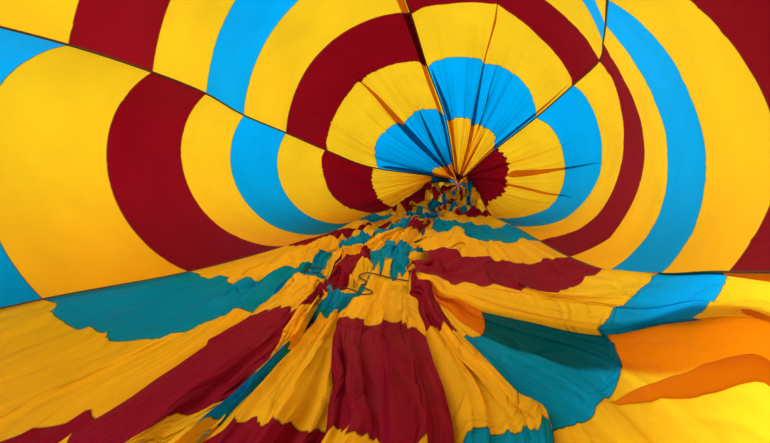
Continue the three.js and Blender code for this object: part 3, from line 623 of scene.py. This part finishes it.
def fold_field(rng, s, a, span, folds):
    """Height and step towards the mouth of the folds that run along a gore, each steep on one side."""
    low, high, low_end, high_end = folds["rows"]
    ease = smooth_step(s, low, high) * (1 - 0.8 * smooth_step(s, low_end, high_end))
    rise = np.zeros((len(s), len(a)))
    step = np.zeros((len(s), len(a)))
    for n in range(folds["broad"] + folds["fine"]):
        broad = n < folds["broad"]
        centre = (n + rng.uniform(0.2, 0.8)) / folds["broad"] if broad else rng.uniform(0, 1)
        centre = centre + drift(rng, s, 0.5 / folds["broad"] if broad else 0.05)
        size = rng.uniform(0.035, 0.09) if broad else rng.uniform(0.008, 0.03)
        if broad:
            high_here = np.clip(0.45 + drift(rng, s, 0.75), 0, 1.2)
        else:
            high_here = np.clip(drift(rng, s, 1.0, 0.8, 3.0), 0, 1)
        size = size * np.clip(span / 0.5, 0.35, 1.4)
        height = folds["height"] * rng.uniform(0.6, 1.2) if broad else rng.uniform(0.25, 0.5) * size
        x = (a[None, :] - centre[:, None]) * span[:, None] / size[:, None] * rng.choice([-1, 1])
        shape = np.where(x > 0, np.exp(-(2.6 * x) ** 2), np.exp(-x * x) if broad else np.exp(-1.3 * np.abs(x)))
        lift = (height * high_here * ease)[:, None]
        rise += lift * shape
        if broad:
            saw = np.where(x > 0, np.clip(1 - 5 * x, 0, 1), np.clip(1 + 0.35 * x, 0, 1) ** 1.5)
            step += folds["step"] * rng.choice([-1, 1]) * (high_here * ease)[:, None] * saw
        else:
            step += 0.25 * folds["step"] * rng.choice([-1, 1]) * (high_here * ease)[:, None] * shape
    return rise, step


def crumple(points, s, hold):
    """Moves the points of the slack cloth about, the same for every gore that meets at a place, and less where hold
    nears 1."""
    rng = np.random.default_rng(9)
    x, y = points[..., 0], points[..., 1]
    ease = smooth_step(s, 0.6, 2.0)[:, None]
    ease = ease * (1 - 0.75 * smooth_step(y, 6.6, 5.2) - 0.25 * smooth_step(s, 10.0, 11.5)[:, None])
    ease = ease * (1 - smooth_step(x, 0.35 + 0.05 * (13 - y), 1.3)) * smooth_step(x, -1.2, -0.85)
    shift = np.zeros_like(points)
    for _ in range(42):
        size = rng.uniform(0.14, 0.55)
        turn = rng.uniform(0, math.pi)
        phase = rng.uniform(0, 2 * math.pi)
        wave = np.sin((x * math.cos(turn) * 1.5 + y * math.sin(turn) * 0.6) * 2 * math.pi / size + phase)
        patch = np.sin(x * rng.uniform(1, 4) + y * rng.uniform(1, 3) + rng.uniform(0, 6))
        strength = np.clip(wave * patch, -1, 1) * size
        shift[..., 0] += strength * rng.normal(0, 0.014)
        shift[..., 1] += strength * rng.normal(0, 0.06)
        shift[..., 2] += strength * rng.normal(0, 0.016)
    # The heap of cloth in front of the crown
    heap = (smooth_step(s, 0.15, 0.7) * (1 - smooth_step(s, 2.0, 3.2)))[:, None]
    bunch = np.zeros_like(points)
    for _ in range(20):
        size = rng.uniform(0.2, 0.45)
        turn = rng.uniform(0, math.pi)
        wave = np.sin((x * math.cos(turn) + (y + points[..., 2]) * math.sin(turn)) * 2 * math.pi / size
                      + rng.uniform(0, 2 * math.pi)) * size
        bunch[..., 0] += wave * rng.normal(0, 0.04)
        bunch[..., 1] += wave * rng.normal(0, 0.1)
        bunch[..., 2] += wave * rng.normal(0, 0.05)
    bunch[..., 2] += 0.1 * np.exp(-((x - 0.15) / 0.3) ** 2)
    return points + (shift * ease[..., None] + bunch * heap[..., None]) * (1 - hold)[None, :, None]


def press_under_line(points):
    """Lets the cloth lie just under the control line where that rests on it, and no higher in front of it than leaves
    it in sight from the mouth."""
    line = through(LINE, np.linspace(0, len(LINE) - 1, 8 * (len(LINE) - 1) + 1))[8:-8]
    near = (np.abs(points[..., 0] - LINE_MIDDLE[0]) < 0.9) & (np.abs(points[..., 1] - LINE_MIDDLE[1]) < 1.0)
    chosen = points[near]
    flat = np.linalg.norm(chosen[:, None, :2] - line[None, :, :2], axis=-1)
    nearest = flat.argmin(1)
    close = 1 - smooth_step(flat.min(1), 0.035, 0.14)
    chosen[:, 2] += (line[nearest, 2] - 0.012 - chosen[:, 2]) * close
    ahead = line[None, :, 1] - chosen[:, None, 1]
    slant = (line[:, 0] - MOUTH_EYE[0]) / (line[:, 1] - MOUTH_EYE[1])
    aside = chosen[:, None, 0] - line[None, :, 0] + ahead * slant[None, :]
    cap = line[None, :, 2] - 0.014 + 0.17 * ahead + 2.0 * np.maximum(np.abs(aside) - 0.03, 0)
    cap = np.where((ahead > 0) & (ahead < 0.7) & (np.abs(aside) < 0.12), cap, 9.0).min(1)
    chosen[:, 2] = np.minimum(chosen[:, 2], cap)
    points[near] = chosen
    return points


def floor_surface(gore, s):
    """The part of a floor gore that shows, with what is tucked beside it: its points and the lines they follow."""
    number = gore["number"]
    rng = np.random.default_rng(70 + number)
    lines = floor_lines(gore, s)
    a = np.linspace(0, 1, FLOOR_ACROSS)
    columns = np.stack(lines, 1)
    at = a * (len(lines) - 1)
    grid = np.stack([through(row, at) for row in columns])
    span = np.linalg.norm(columns[:, -1] - columns[:, 0], axis=1)
    rise, step = fold_field(rng, s, a, span, FOLDS[number])
    edge = np.minimum(a, 1 - a)[None, :] * span[:, None]
    inside = smooth_step(edge, 0.0, 0.03)
    grid[..., 2] += rise * inside
    grid[..., 1] += step * inside
    hold = np.zeros(len(a))
    if number == 4:
        hold = 1 - smooth_step(a, 0.0, 0.3)
    if number == 11:
        hold = smooth_step(a, 0.7, 1.0)
    grid = press_under_line(crumple(grid, s, hold))
    grid[..., 2] = np.maximum(grid[..., 2], SHOWN_LOW)
    # Under the neighbour that laps over this gore, its cloth goes on out of sight
    before, after = gore.get("tuck", (0, 0))
    hidden = smooth_step(s, 3, 6)[:, None, None]
    if number == 5:
        hidden = hidden * (1 - 0.8 * smooth_step(s, 8.6, 9.6))[:, None, None]
    down = np.array([0, 0, -0.5])
    if before:
        out = unit((grid[:, 0] - grid[:, 3]) * [1, 1, 0])[:, None] + down
        grid = np.concatenate([grid[:, :1] + hidden * before * f * out for f in TUCKED_SHARES[::-1]] + [grid], 1)
    if after:
        out = unit((grid[:, -1] - grid[:, -4]) * [1, 1, 0])[:, None] + down
        grid = np.concatenate([grid] + [grid[:, -1:] + hidden * after * f * out for f in TUCKED_SHARES], 1)
    grid[..., 2] = np.maximum(grid[..., 2], TUCKED_LOW)
    return grid, columns


def floor_painted_shade(number, s, count, skip):
    """How much painted shade darkens each point of a floor gore, from 0 to 1."""
    doubled = np.zeros((len(s), count))
    share = np.clip((np.arange(count) - skip) / (FLOOR_ACROSS - 1), 0, 1)
    for patch in PAINTED_SHADE_PATCHES.get(number, []):
        at, low, high = (np.array(c, float) for c in zip(*patch))
        near, far = np.interp(s, at, low)[:, None], np.interp(s, at, high)[:, None]
        soft_near = 0.008 + 0.9 * np.abs(np.gradient(near, axis=0))
        soft_far = 0.008 + 0.9 * np.abs(np.gradient(far, axis=0))
        here = smooth_step(share, near - soft_near, near + soft_near)
        here = here * (1 - smooth_step(share, far - soft_far, far + soft_far))
        doubled = np.maximum(doubled, here * ((s >= at[0]) & (s <= at[-1]))[:, None])
    return doubled


def build_floor(gore, materials):
    """One floor gore, folded and pleated on the ground."""
    number = gore["number"]
    s = places(FLOOR_STEPS)
    grid, columns = floor_surface(gore, s)
    skip = len(TUCKED_SHARES) if gore.get("tuck", (0, 0))[0] else 0
    # The rest of the width stands in narrow pleats behind the part that shows, and so does the cloth of a row that lies
    # shorter than its cut
    count = grid.shape[1]
    across = columns[:, -1] - columns[:, 0]
    along = np.gradient((columns[:, 0] + columns[:, -1]) / 2, s, axis=0)
    steps = np.diff(grid, axis=1)
    steps -= (steps * unit(along)[:, None]).sum(2, keepdims=True) * unit(along)[:, None]
    shown = np.linalg.norm(steps, axis=2).sum(1)
    depth = np.maximum(cut_width(s) - shown, 0) / PLEATS * np.clip(ROW_LENGTH / np.linalg.norm(along, axis=1), 1, 1.8)
    outward = unit(np.cross(unit(across), along))
    centre = (columns[:, 0] + columns[:, -1]) / 2 - np.array([0, 0, 1.1])
    outward *= np.sign((outward * centre * [1, 0, 1]).sum(1))[:, None]
    inward = unit(-across * [1, 1, 0])
    under = []
    for k in range(PLEATS):
        where = (1 - np.clip(PLEAT_APART * (k + 1) / shown, 0, 0.9)) * (count - 1)
        point = between(grid, where) + outward * PLEAT_BEHIND
        if k % 2 == 0:
            room = np.clip((point[:, 2] - 0.01) / np.maximum(-outward[:, 2], 0.05), 0, depth)
            aside = np.sqrt(np.maximum(depth ** 2 - room ** 2, 0))
            point = point + outward * room[:, None] + inward * aside[:, None]
        point[:, 2] = np.maximum(point[:, 2], PLEAT_LOW)
        under.append(point)
    grid = np.concatenate([grid, np.stack(under, 1)], 1)
    cut = run_across(grid)
    cut -= cut[:, -1:] / 2
    first, last = FLOOR_TAPES[number]
    pieces = [(grid, s, cut, floor_painted_shade(number, s, grid.shape[1], skip)),
              gathered_end(CROWN_TURNS[first], CROWN_TURNS[last], number)]
    # Flat folds on a floor gore get painted shade, on top of the darkening that their two layers give
    if number in FLOOR_TUCKS:
        top = grid[:, skip:skip + FLOOR_ACROSS]
        pieces.append(tuck_strip(FLOOR_TUCKS[number], top, face_out(top), s, shown, 0.8))
    obj = grid_mesh(gore["name"], pieces, row_colours(number), materials, 1.0)
    stand_for(obj, gore["node"])
    return obj


def solid_mesh(name, points, faces, material):
    """A smooth mesh of one finish."""
    mesh = bpy.data.meshes.new(name)
    mesh.from_pydata([tuple(p) for p in points], [], faces)
    mesh.update()
    for polygon in mesh.polygons:
        polygon.use_smooth = True
    mesh.materials.append(material)
    obj = bpy.data.objects.new(name, mesh)
    bpy.context.scene.collection.objects.link(obj)
    return obj


def swept(sections):
    """Points and quads of a closed body over a row of sections with the same number of points."""
    n = len(sections[0])
    points = np.concatenate(sections)
    faces = []
    for k in range(len(sections) - 1):
        for i in range(n):
            j = (i + 1) % n
            faces.append((k * n + i, k * n + j, (k + 1) * n + j, (k + 1) * n + i))
    last = (len(sections) - 1) * n
    faces.append(tuple(range(n - 1, -1, -1)))
    faces.append(tuple(range(last, last + n)))
    return points, faces


# Half a tape's thickness by its edges, and the lowest that its middle lies
TAPE_THICK = 0.0025
TAPE_LOW = 0.009
# The sewn loops: from the tape's end to the loop's middle, outer radius, width, half the webbing's thickness, half the
# strap's thickness, how far the strap goes back, and which way the loops lie
LOOP_REACH = 0.045
LOOP_OUT = 0.014
LOOP_WIDTH = 0.020
LOOP_THICK = 0.002
STRAP_THICK = 0.003
STRAP_BACK = 0.05
LOOP_RUN = (0.0, -1.0, -0.52)
TAPE_ORDER = "abcdefghijkl"
ALL_WALLS = {wall["tapes"]: wall for wall in WALLS}


def rounded(value, digits):
    """Rounds as by hand, without the noise of a sum."""
    return round(round(value, 6), digits)


def under_folds(tape):
    """Where a tape under the folds meets the ring seams: half way up the heap, and at its full height at the mouth."""
    place = HIDDEN_TAPES.index(tape)
    nodes = []
    for along, heap, slide, lean, across in FOLD_RINGS:
        top = FOLDS_LOW + heap * HEAP_SHARE[place]
        y = along + slide * SLIDE_SHARE[place] + (MOUTH_TOP - top) * MOUTH_LEAN * lean
        z = top if lean == 1 else max(top / 2, HIDDEN_LOW)
        nodes.append((across[place], rounded(y, 2), rounded(z, 3)))
    return nodes


def tape_places(tape, s, reach):
    """The middle of a tape, and from there to its edges on the cloth on either side, which are at reach."""
    after = TAPE_ORDER[(TAPE_ORDER.index(tape) + 1) % 12]
    before = TAPE_ORDER[TAPE_ORDER.index(tape) - 1]

    def beside(pair, at_start):
        if pair in ALL_WALLS:
            grid = wall_grid(ALL_WALLS[pair], s, np.array([0.0, 0.06, 0.94, 1.0]))
            tip, near = (grid[:, 0], grid[:, 1]) if at_start else (grid[:, 3], grid[:, 2])
        else:
            number = [n for n, names in FLOOR_TAPES.items() if names == pair][0]
            gore = [g for g in FLOORS if g["number"] == number][0]
            columns = floor_lines(gore, s)
            tip, near = (columns[0], columns[1]) if at_start else (columns[-1], columns[-2])
        return tip, unit(near - tip) * reach

    if tape in HIDDEN_TAPES:
        start = circle_point(CROWN, CROWN_TURNS[tape])
        neck = circle_point({**NECK, "r": NECK["r"] + 0.05}, NECK_TURNS[tape])
        middle = through([start, neck] + under_folds(tape), s)
        toward_a = np.tile([reach, 0, 0], (len(s), 1))
        return middle, toward_a, -toward_a
    tip_a, toward_a = beside(before + tape, False)
    tip_b, toward_b = beside(tape + after, True)
    return (tip_a + tip_b) / 2, toward_a, toward_b


def build_tape(tape, width, material):
    """One load tape with its sewn loop."""
    number = TAPE_ORDER.index(tape) + 1
    s = places(TAPE_STEPS)
    middle, left, right = tape_places(tape, s, width / 2)
    middle[:, 2] = np.maximum(middle[:, 2], TAPE_LOW)
    for side in (left, right):
        side[:, 2] = np.maximum(side[:, 2], TAPE_THICK * 2 - middle[:, 2])
    along = unit(np.gradient(middle, axis=0))
    face = unit(np.cross(unit(right - left), along))
    half = face * TAPE_THICK
    sections = []
    for k in range(len(s)):
        m, a, b, f = middle[k], left[k], right[k], half[k]
        sections.append([m + a - f, m + a * 0.5 - f * 1.15, m - f * 1.3, m + b * 0.5 - f * 1.15, m + b - f,
                         m + b + f, m + b * 0.5 + f * 1.15, m + f * 1.3, m + a * 0.5 + f * 1.15, m + a + f])
    points, faces = swept(sections)
    # The sewn loop at the mouth
    end, across = middle[-1], unit(right[-1] - left[-1])
    run = np.array(LOOP_RUN)
    run = unit(run - face[-1] * run.dot(face[-1]))
    across = unit(across - run * across.dot(run))
    normal = np.cross(run, across)
    side = across * LOOP_WIDTH / 2
    radius = LOOP_OUT - LOOP_THICK
    loop = []
    for turn in np.linspace(-math.pi, math.pi, 25):
        out = run * math.cos(turn) + normal * math.sin(turn)
        ring = end + run * LOOP_REACH + out * radius
        thick = out * LOOP_THICK
        loop.append([ring - thick - side, ring + thick - side, ring + thick + side, ring - thick + side])
    thick = normal * STRAP_THICK
    strap = [[p - thick - side, p + thick - side, p + thick + side, p - thick + side]
             for p in (end - run * STRAP_BACK, end + run * (LOOP_REACH - LOOP_OUT))]
    for part in (loop, strap):
        more, extra = swept(part)
        faces += [tuple(i + len(points) for i in f) for f in extra]
        points = np.concatenate([points, more])
    obj = solid_mesh(f"load_tape_webbing_{number:02d}", points + SHIFT, faces, material)
    stand_for(obj, f"load_tape_{number:02d}")
    return obj


def new_material(name):
    """An empty material."""
    material = bpy.data.materials.new(name)
    material.use_nodes = True
    material.node_tree.nodes.clear()
    return material


def put(material, kind, inputs=None, **settings):
    """Adds a shader node with its settings. Each input gets a value, or a link where an output is given."""
    node = material.node_tree.nodes.new("ShaderNode" + kind)
    for name, value in settings.items():
        setattr(node, name, value)
    for name, value in (inputs or {}).items():
        if isinstance(value, bpy.types.NodeSocket):
            material.node_tree.links.new(value, node.inputs[name])
        else:
            node.inputs[name].default_value = value
    return node


def cloth_material(name, colour, through_colour, doubled, share, seam_dark):
    """Coated woven cloth that lets light through: a diffuse face and a translucent one, with a ripstop weave, and
    painted shade that mixes in a darker tint where the points' shade attribute says.
    """
    material = new_material(name)
    cut = put(material, "UVMap", uv_map="cut").outputs["UV"]
    mottle = put(material, "TexNoise", {"Vector": cut, "Scale": 1.3, "Detail": 3})
    tone = put(material, "MapRange", {"Value": mottle.outputs["Fac"], "From Min": 0.3, "From Max": 0.7, "To Min": 0.93,
                                      "To Max": 1.05})
    # Ring seams: a double layer at every row's edge, up to 12 mm from it
    split = put(material, "SeparateXYZ", {"Vector": cut})
    row = put(material, "Math", {0: split.outputs["Y"], 1: ROW_LENGTH / 2}, operation="PINGPONG")
    seam = put(material, "MapRange", {"Value": row.outputs[0], "From Min": 0.008, "From Max": 0.012,
                                      "To Min": seam_dark, "To Max": 1.0})
    dark = put(material, "Math", {0: tone.outputs["Result"], 1: seam.outputs["Result"]}, operation="MULTIPLY")
    painted_shade_amount = put(material, "Attribute", attribute_name="doubled")

    # Painted shade: each colour is mixed towards its darker tint by the points' shade attribute, then darkened by the
    # mottle and the ring seams
    def tinted(value):
        shaded_colour = put(material, "Mix", {"Factor": painted_shade_amount.outputs["Fac"], "A": (*value[:3], 1),
                                     "B": (*[v * d for v, d in zip(value[:3], doubled)], 1)}, data_type="RGBA")
        return put(material, "VectorMath", {0: shaded_colour.outputs["Result"], "Scale": dark.outputs[0]},
                   operation="SCALE").outputs[0]

    # Ripstop threads in both directions, and small crinkles
    threads = [put(material, "TexWave", {"Vector": cut, "Scale": 40}, wave_type="BANDS", bands_direction=way)
               for way in "XY"]
    both = put(material, "Math", {0: threads[0].outputs["Fac"], 1: threads[1].outputs["Fac"]}, operation="MAXIMUM")
    fine = put(material, "Bump", {"Height": both.outputs[0], "Strength": 0.15, "Distance": 0.001})
    crinkle = put(material, "TexNoise", {"Vector": cut, "Scale": 9, "Detail": 5})
    crinkled = put(material, "Bump", {"Height": crinkle.outputs["Fac"], "Normal": fine.outputs["Normal"],
                                      "Strength": 0.5, "Distance": 0.012})
    # Sharp creases that run mostly along the gore, in two slants, where the cloth is slack
    slack = put(material, "Attribute", attribute_name="slack")
    height = None
    for slant, scale in ((0.12, (7.0, 1.0, 1.0)), (-0.45, (4.5, 1.5, 1.0))):
        stretch = put(material, "Mapping", {"Vector": cut, "Rotation": (0, 0, slant), "Scale": scale})
        ridges = put(material, "TexNoise", {"Vector": stretch.outputs["Vector"], "Scale": 1.0, "Detail": 3.0,
                                            "Roughness": 0.45}, noise_type="RIDGED_MULTIFRACTAL", normalize=True)
        creases = {0: ridges.outputs["Fac"], 1: slack.outputs["Fac"]}
        if height:
            creases[2] = height
        height = put(material, "Math", creases, operation="MULTIPLY_ADD" if height else "MULTIPLY").outputs[0]
    bump = put(material, "Bump", {"Height": height, "Normal": crinkled.outputs["Normal"], "Strength": 1.0,
                                  "Distance": 0.03})
    face = put(material, "BsdfPrincipled", {"Base Color": tinted(colour), "Normal": bump.outputs["Normal"],
                                            "Roughness": 0.55, "Specular IOR Level": 0.02})
    glow = put(material, "BsdfTranslucent", {"Color": tinted(through_colour), "Normal": bump.outputs["Normal"]})
    blend = put(material, "MixShader", {"Fac": share, 1: face.outputs[0], 2: glow.outputs[0]})
    put(material, "OutputMaterial", {"Surface": blend.outputs[0]})
    return material


def plain_material(name, colour, roughness, metallic=0.0, scale=30.0, bump_size=0.001):
    """A finish with mottled colour and a fine grain."""
    material = new_material(name)
    place = put(material, "TexCoord")
    noise = put(material, "TexNoise", {"Vector": place.outputs["Object"], "Scale": scale, "Detail": 6})
    ramp = put(material, "ValToRGB", {"Fac": noise.outputs["Fac"]})
    ramp.color_ramp.elements[0].color = [c * 0.7 for c in colour] + [1]
    ramp.color_ramp.elements[1].color = [min(c * 1.25, 1) for c in colour] + [1]
    bump = put(material, "Bump", {"Height": noise.outputs["Fac"], "Strength": 0.5, "Distance": bump_size})
    face = put(material, "BsdfPrincipled", {"Base Color": ramp.outputs["Color"], "Normal": bump.outputs["Normal"],
                                            "Roughness": roughness, "Metallic": metallic})
    put(material, "OutputMaterial", {"Surface": face.outputs[0]})
    return material


class ENVELOPE_PG_colours(PropertyGroup):
    """Colours of the envelope's finishes."""
    yellow: FloatVectorProperty(name="Yellow cloth", description="Colour of the yellow panels", subtype="COLOR",
                                default=(1.0, 0.55, 0.016), min=0, max=1)
    red: FloatVectorProperty(name="Red cloth", description="Colour of the dark red panels", subtype="COLOR",
                             default=(0.27, 0.005, 0.028), min=0, max=1)
    blue: FloatVectorProperty(name="Blue cloth", description="Colour of the blue panels", subtype="COLOR",
                              default=(0.0, 0.36, 0.62), min=0, max=1)


class ENVELOPE_PG_sizes(PropertyGroup):
    """Sizes of the tapes and the line."""
    tape_width: FloatProperty(name="Tape width", description="Width of the load tapes' webbing", default=0.02,
                              unit="LENGTH", min=0.01, max=0.05)
    line_thickness: FloatProperty(name="Line thickness", description="Diameter of the control line", default=0.01,
                                  unit="LENGTH", min=0.004, max=0.02)


class ENVELOPE_PG_stage(PropertyGroup):
    """Camera and light."""
    lens: FloatProperty(name="Lens", description="Focal length of the camera", default=0.03184, unit="CAMERA", min=0.01)
    heading: FloatProperty(name="Heading", description="How far the camera turns towards -X from +Y",
                           default=math.radians(11.86), subtype="ANGLE")
    pitch: FloatProperty(name="Pitch", description="How far the camera looks down",
                         default=math.radians(7.04), subtype="ANGLE")
    camera_place: FloatVectorProperty(name="Camera place", description="Where the camera stands, on the tables' zero",
                                      default=(1.4, 1.5, 1.415), subtype="TRANSLATION")


def cloths():
    """The yellow, red and blue cloth, each made once."""
    colours = bpy.context.scene.envelope_colours
    return [bpy.data.materials.get("cloth_" + name)
            or cloth_material("cloth_" + name, tuple(getattr(colours, name)), *finish)
            for name, finish in CLOTHS.items()]


class ENVELOPE_OT_walls(Operator):
    """Builds the four gores that stand as walls"""
    bl_idname = "envelope.walls"
    bl_label = "Wall gores"

    def execute(self, context):
        for wall in WALLS:
            build_wall(wall, cloths())
        return {"FINISHED"}


class ENVELOPE_OT_floor(Operator):
    """Builds the eight gores that lie in folds on the floor"""
    bl_idname = "envelope.floor"
    bl_label = "Floor gores"

    def execute(self, context):
        for gore in FLOORS:
            build_floor(gore, cloths())
        return {"FINISHED"}


class ENVELOPE_OT_tapes(Operator):
    """Builds the twelve load tapes with their sewn loops"""
    bl_idname = "envelope.tapes"
    bl_label = "Load tapes"

    def execute(self, context):
        webbing = plain_material("webbing", (0.05, 0.028, 0.015), 0.75, scale=400.0, bump_size=0.0006)
        width = round(context.scene.envelope_sizes.tape_width, 6)
        tapes = {tape: build_tape(tape, width, webbing) for tape in TAPE_ORDER}
        return {"FINISHED"}


class ENVELOPE_OT_metal(Operator):
    """Rounds off and finishes the crown ring and the steel rings"""
    bl_idname = "envelope.metal"
    bl_label = "Rings"

    def execute(self, context):
        steel = plain_material("steel", (0.5, 0.5, 0.52), 0.3, 1.0, scale=90.0, bump_size=0.0002)
        aluminium = plain_material("aluminium", (0.6, 0.61, 0.63), 0.38, 1.0, scale=60.0, bump_size=0.0002)
        for name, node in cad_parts.items():
            if name.startswith(("steel_ring", "crown_ring")):
                node.data.materials.clear()
                node.data.materials.append(steel if name.startswith("steel") else aluminium)
                rounding = node.modifiers.new("rounding", "SUBSURF")
                rounding.levels = rounding.render_levels = 1
        return {"FINISHED"}


class ENVELOPE_OT_line(Operator):
    """Lays the loose control line over the folds"""
    bl_idname = "envelope.line"
    bl_label = "Control line"

    def execute(self, context):
        thickness = round(context.scene.envelope_sizes.line_thickness, 6)
        nodes = np.array(LINE) + SHIFT
        curve = bpy.data.curves.new("control_rope", "CURVE")
        curve.dimensions = "3D"
        curve.bevel_depth = thickness / 2
        curve.bevel_resolution = 3
        curve.use_fill_caps = True
        fine = through(nodes, np.linspace(0, len(nodes) - 1, 6 * (len(nodes) - 1) + 1))
        spline = curve.splines.new("POLY")
        spline.points.add(len(fine) - 1)
        for point, at in zip(spline.points, fine):
            point.co = (*at, 1)
        curve.materials.append(plain_material("rope", (0.03, 0.018, 0.012), 0.8, scale=500.0, bump_size=0.001))
        rope = bpy.data.objects.new("control_rope", curve)
        context.scene.collection.objects.link(rope)
        stand_for(rope, "control_line")
        return {"FINISHED"}


class ENVELOPE_OT_stage(Operator):
    """Builds the floor, the lights and the camera"""
    bl_idname = "envelope.stage"
    bl_label = "Stage"

    def execute(self, context):
        stage = context.scene.envelope_stage
        mesh = bpy.data.meshes.new("studio_floor")
        r, low = 60.0, -0.002
        mesh.from_pydata([(-r, -r, low), (r, -r, low), (r, r, low), (-r, r, low)], [], [(0, 1, 2, 3)])
        floor = bpy.data.objects.new("studio_floor", mesh)
        context.scene.collection.objects.link(floor)
        pale = new_material("pale_floor")
        face = put(pale, "BsdfPrincipled", {"Base Color": (0.5, 0.5, 0.48, 1), "Roughness": 0.85})
        put(pale, "OutputMaterial", {"Surface": face.outputs[0]})
        floor.data.materials.append(pale)
        world = bpy.data.worlds.new("studio")
        context.scene.world = world
        world.use_nodes = True
        sky = world.node_tree.nodes["Background"]
        sky.inputs["Color"].default_value = (1, 1, 1, 1)
        sky.inputs["Strength"].default_value = 1.75
        self.add_light("roof_light", (0.0, 7.6, 2.7), (0.0, 7.6, 0.0), (1.8, 6.4), 98, (1.0, 0.72, 0.36))
        self.add_light("mouth_light", (1.6, 1.2, 2.1), (1.85, 4.3, 0.2), (0.5, 0.5), 18, (1.0, 0.95, 0.85), 60)
        self.add_light("mouth_fill", (-0.3, 1.0, 1.9), (0.2, 4.3, 0.2), (0.8, 0.6), 12, (1.0, 0.9, 0.75), 70)
        self.add_light("side_light", (3.4, 3.2, 0.9), (1.7, 3.9, 0.25), (1.2, 0.8), 13, (1.0, 1.0, 1.0), 100)
        data = bpy.data.cameras.new("camera")
        camera = bpy.data.objects.new("camera", data)
        context.scene.collection.objects.link(camera)
        data.sensor_width = 36.0
        data.lens = stage.lens * 1000
        camera.location = np.array(stage.camera_place) + SHIFT
        camera.rotation_euler = (math.pi / 2 - stage.pitch, 0, stage.heading)
        data.clip_start = 0.02
        data.clip_end = 300
        context.scene.camera = camera
        context.scene.view_settings.view_transform = "Standard"
        return {"FINISHED"}

    def add_light(self, name, place, target, size, power, colour, spread=180):
        """Adds a soft rectangular light that the camera doesn't see."""
        data = bpy.data.lights.new(name, "AREA")
        data.shape = "RECTANGLE"
        data.size, data.size_y = size
        data.energy = power
        data.color = colour
        data.spread = math.radians(spread)
        light = bpy.data.objects.new(name, data)
        bpy.context.scene.collection.objects.link(light)
        place, target = Vector(np.array(place) + SHIFT), Vector(np.array(target) + SHIFT)
        light.location = place
        light.rotation_euler = (target - place).to_track_quat("-Z", "Y").to_euler()
        light.visible_camera = False


class ENVELOPE_PT_panel(Panel):
    """Lists the envelope's pieces"""
    bl_idname = "ENVELOPE_PT_panel"
    bl_label = "Envelope"
    bl_space_type = "VIEW_3D"
    bl_region_type = "UI"
    bl_category = "Envelope"

    def draw(self, context):
        for operator in OPERATORS:
            self.layout.operator(operator.bl_idname)


OPERATORS = (ENVELOPE_OT_walls, ENVELOPE_OT_floor, ENVELOPE_OT_tapes, ENVELOPE_OT_metal, ENVELOPE_OT_line,
             ENVELOPE_OT_stage)
CLASSES = (ENVELOPE_PG_colours, ENVELOPE_PG_sizes, ENVELOPE_PG_stage) + OPERATORS + (ENVELOPE_PT_panel,)


def register():
    """Adds the classes and their properties."""
    for cls in CLASSES:
        bpy.utils.register_class(cls)
    bpy.types.Scene.envelope_colours = PointerProperty(type=ENVELOPE_PG_colours)
    bpy.types.Scene.envelope_sizes = PointerProperty(type=ENVELOPE_PG_sizes)
    bpy.types.Scene.envelope_stage = PointerProperty(type=ENVELOPE_PG_stage)


def unregister():
    """Takes the classes and their properties away."""
    del bpy.types.Scene.envelope_colours
    del bpy.types.Scene.envelope_sizes
    del bpy.types.Scene.envelope_stage
    for cls in reversed(CLASSES):
        bpy.utils.unregister_class(cls)


def main():
    """Builds every piece and the stage."""
    register()
    bpy.ops.envelope.walls()
    bpy.ops.envelope.floor()
    bpy.ops.envelope.tapes()
    bpy.ops.envelope.metal()
    bpy.ops.envelope.line()
    bpy.ops.envelope.stage()


if __name__ == "__main__":
    main()
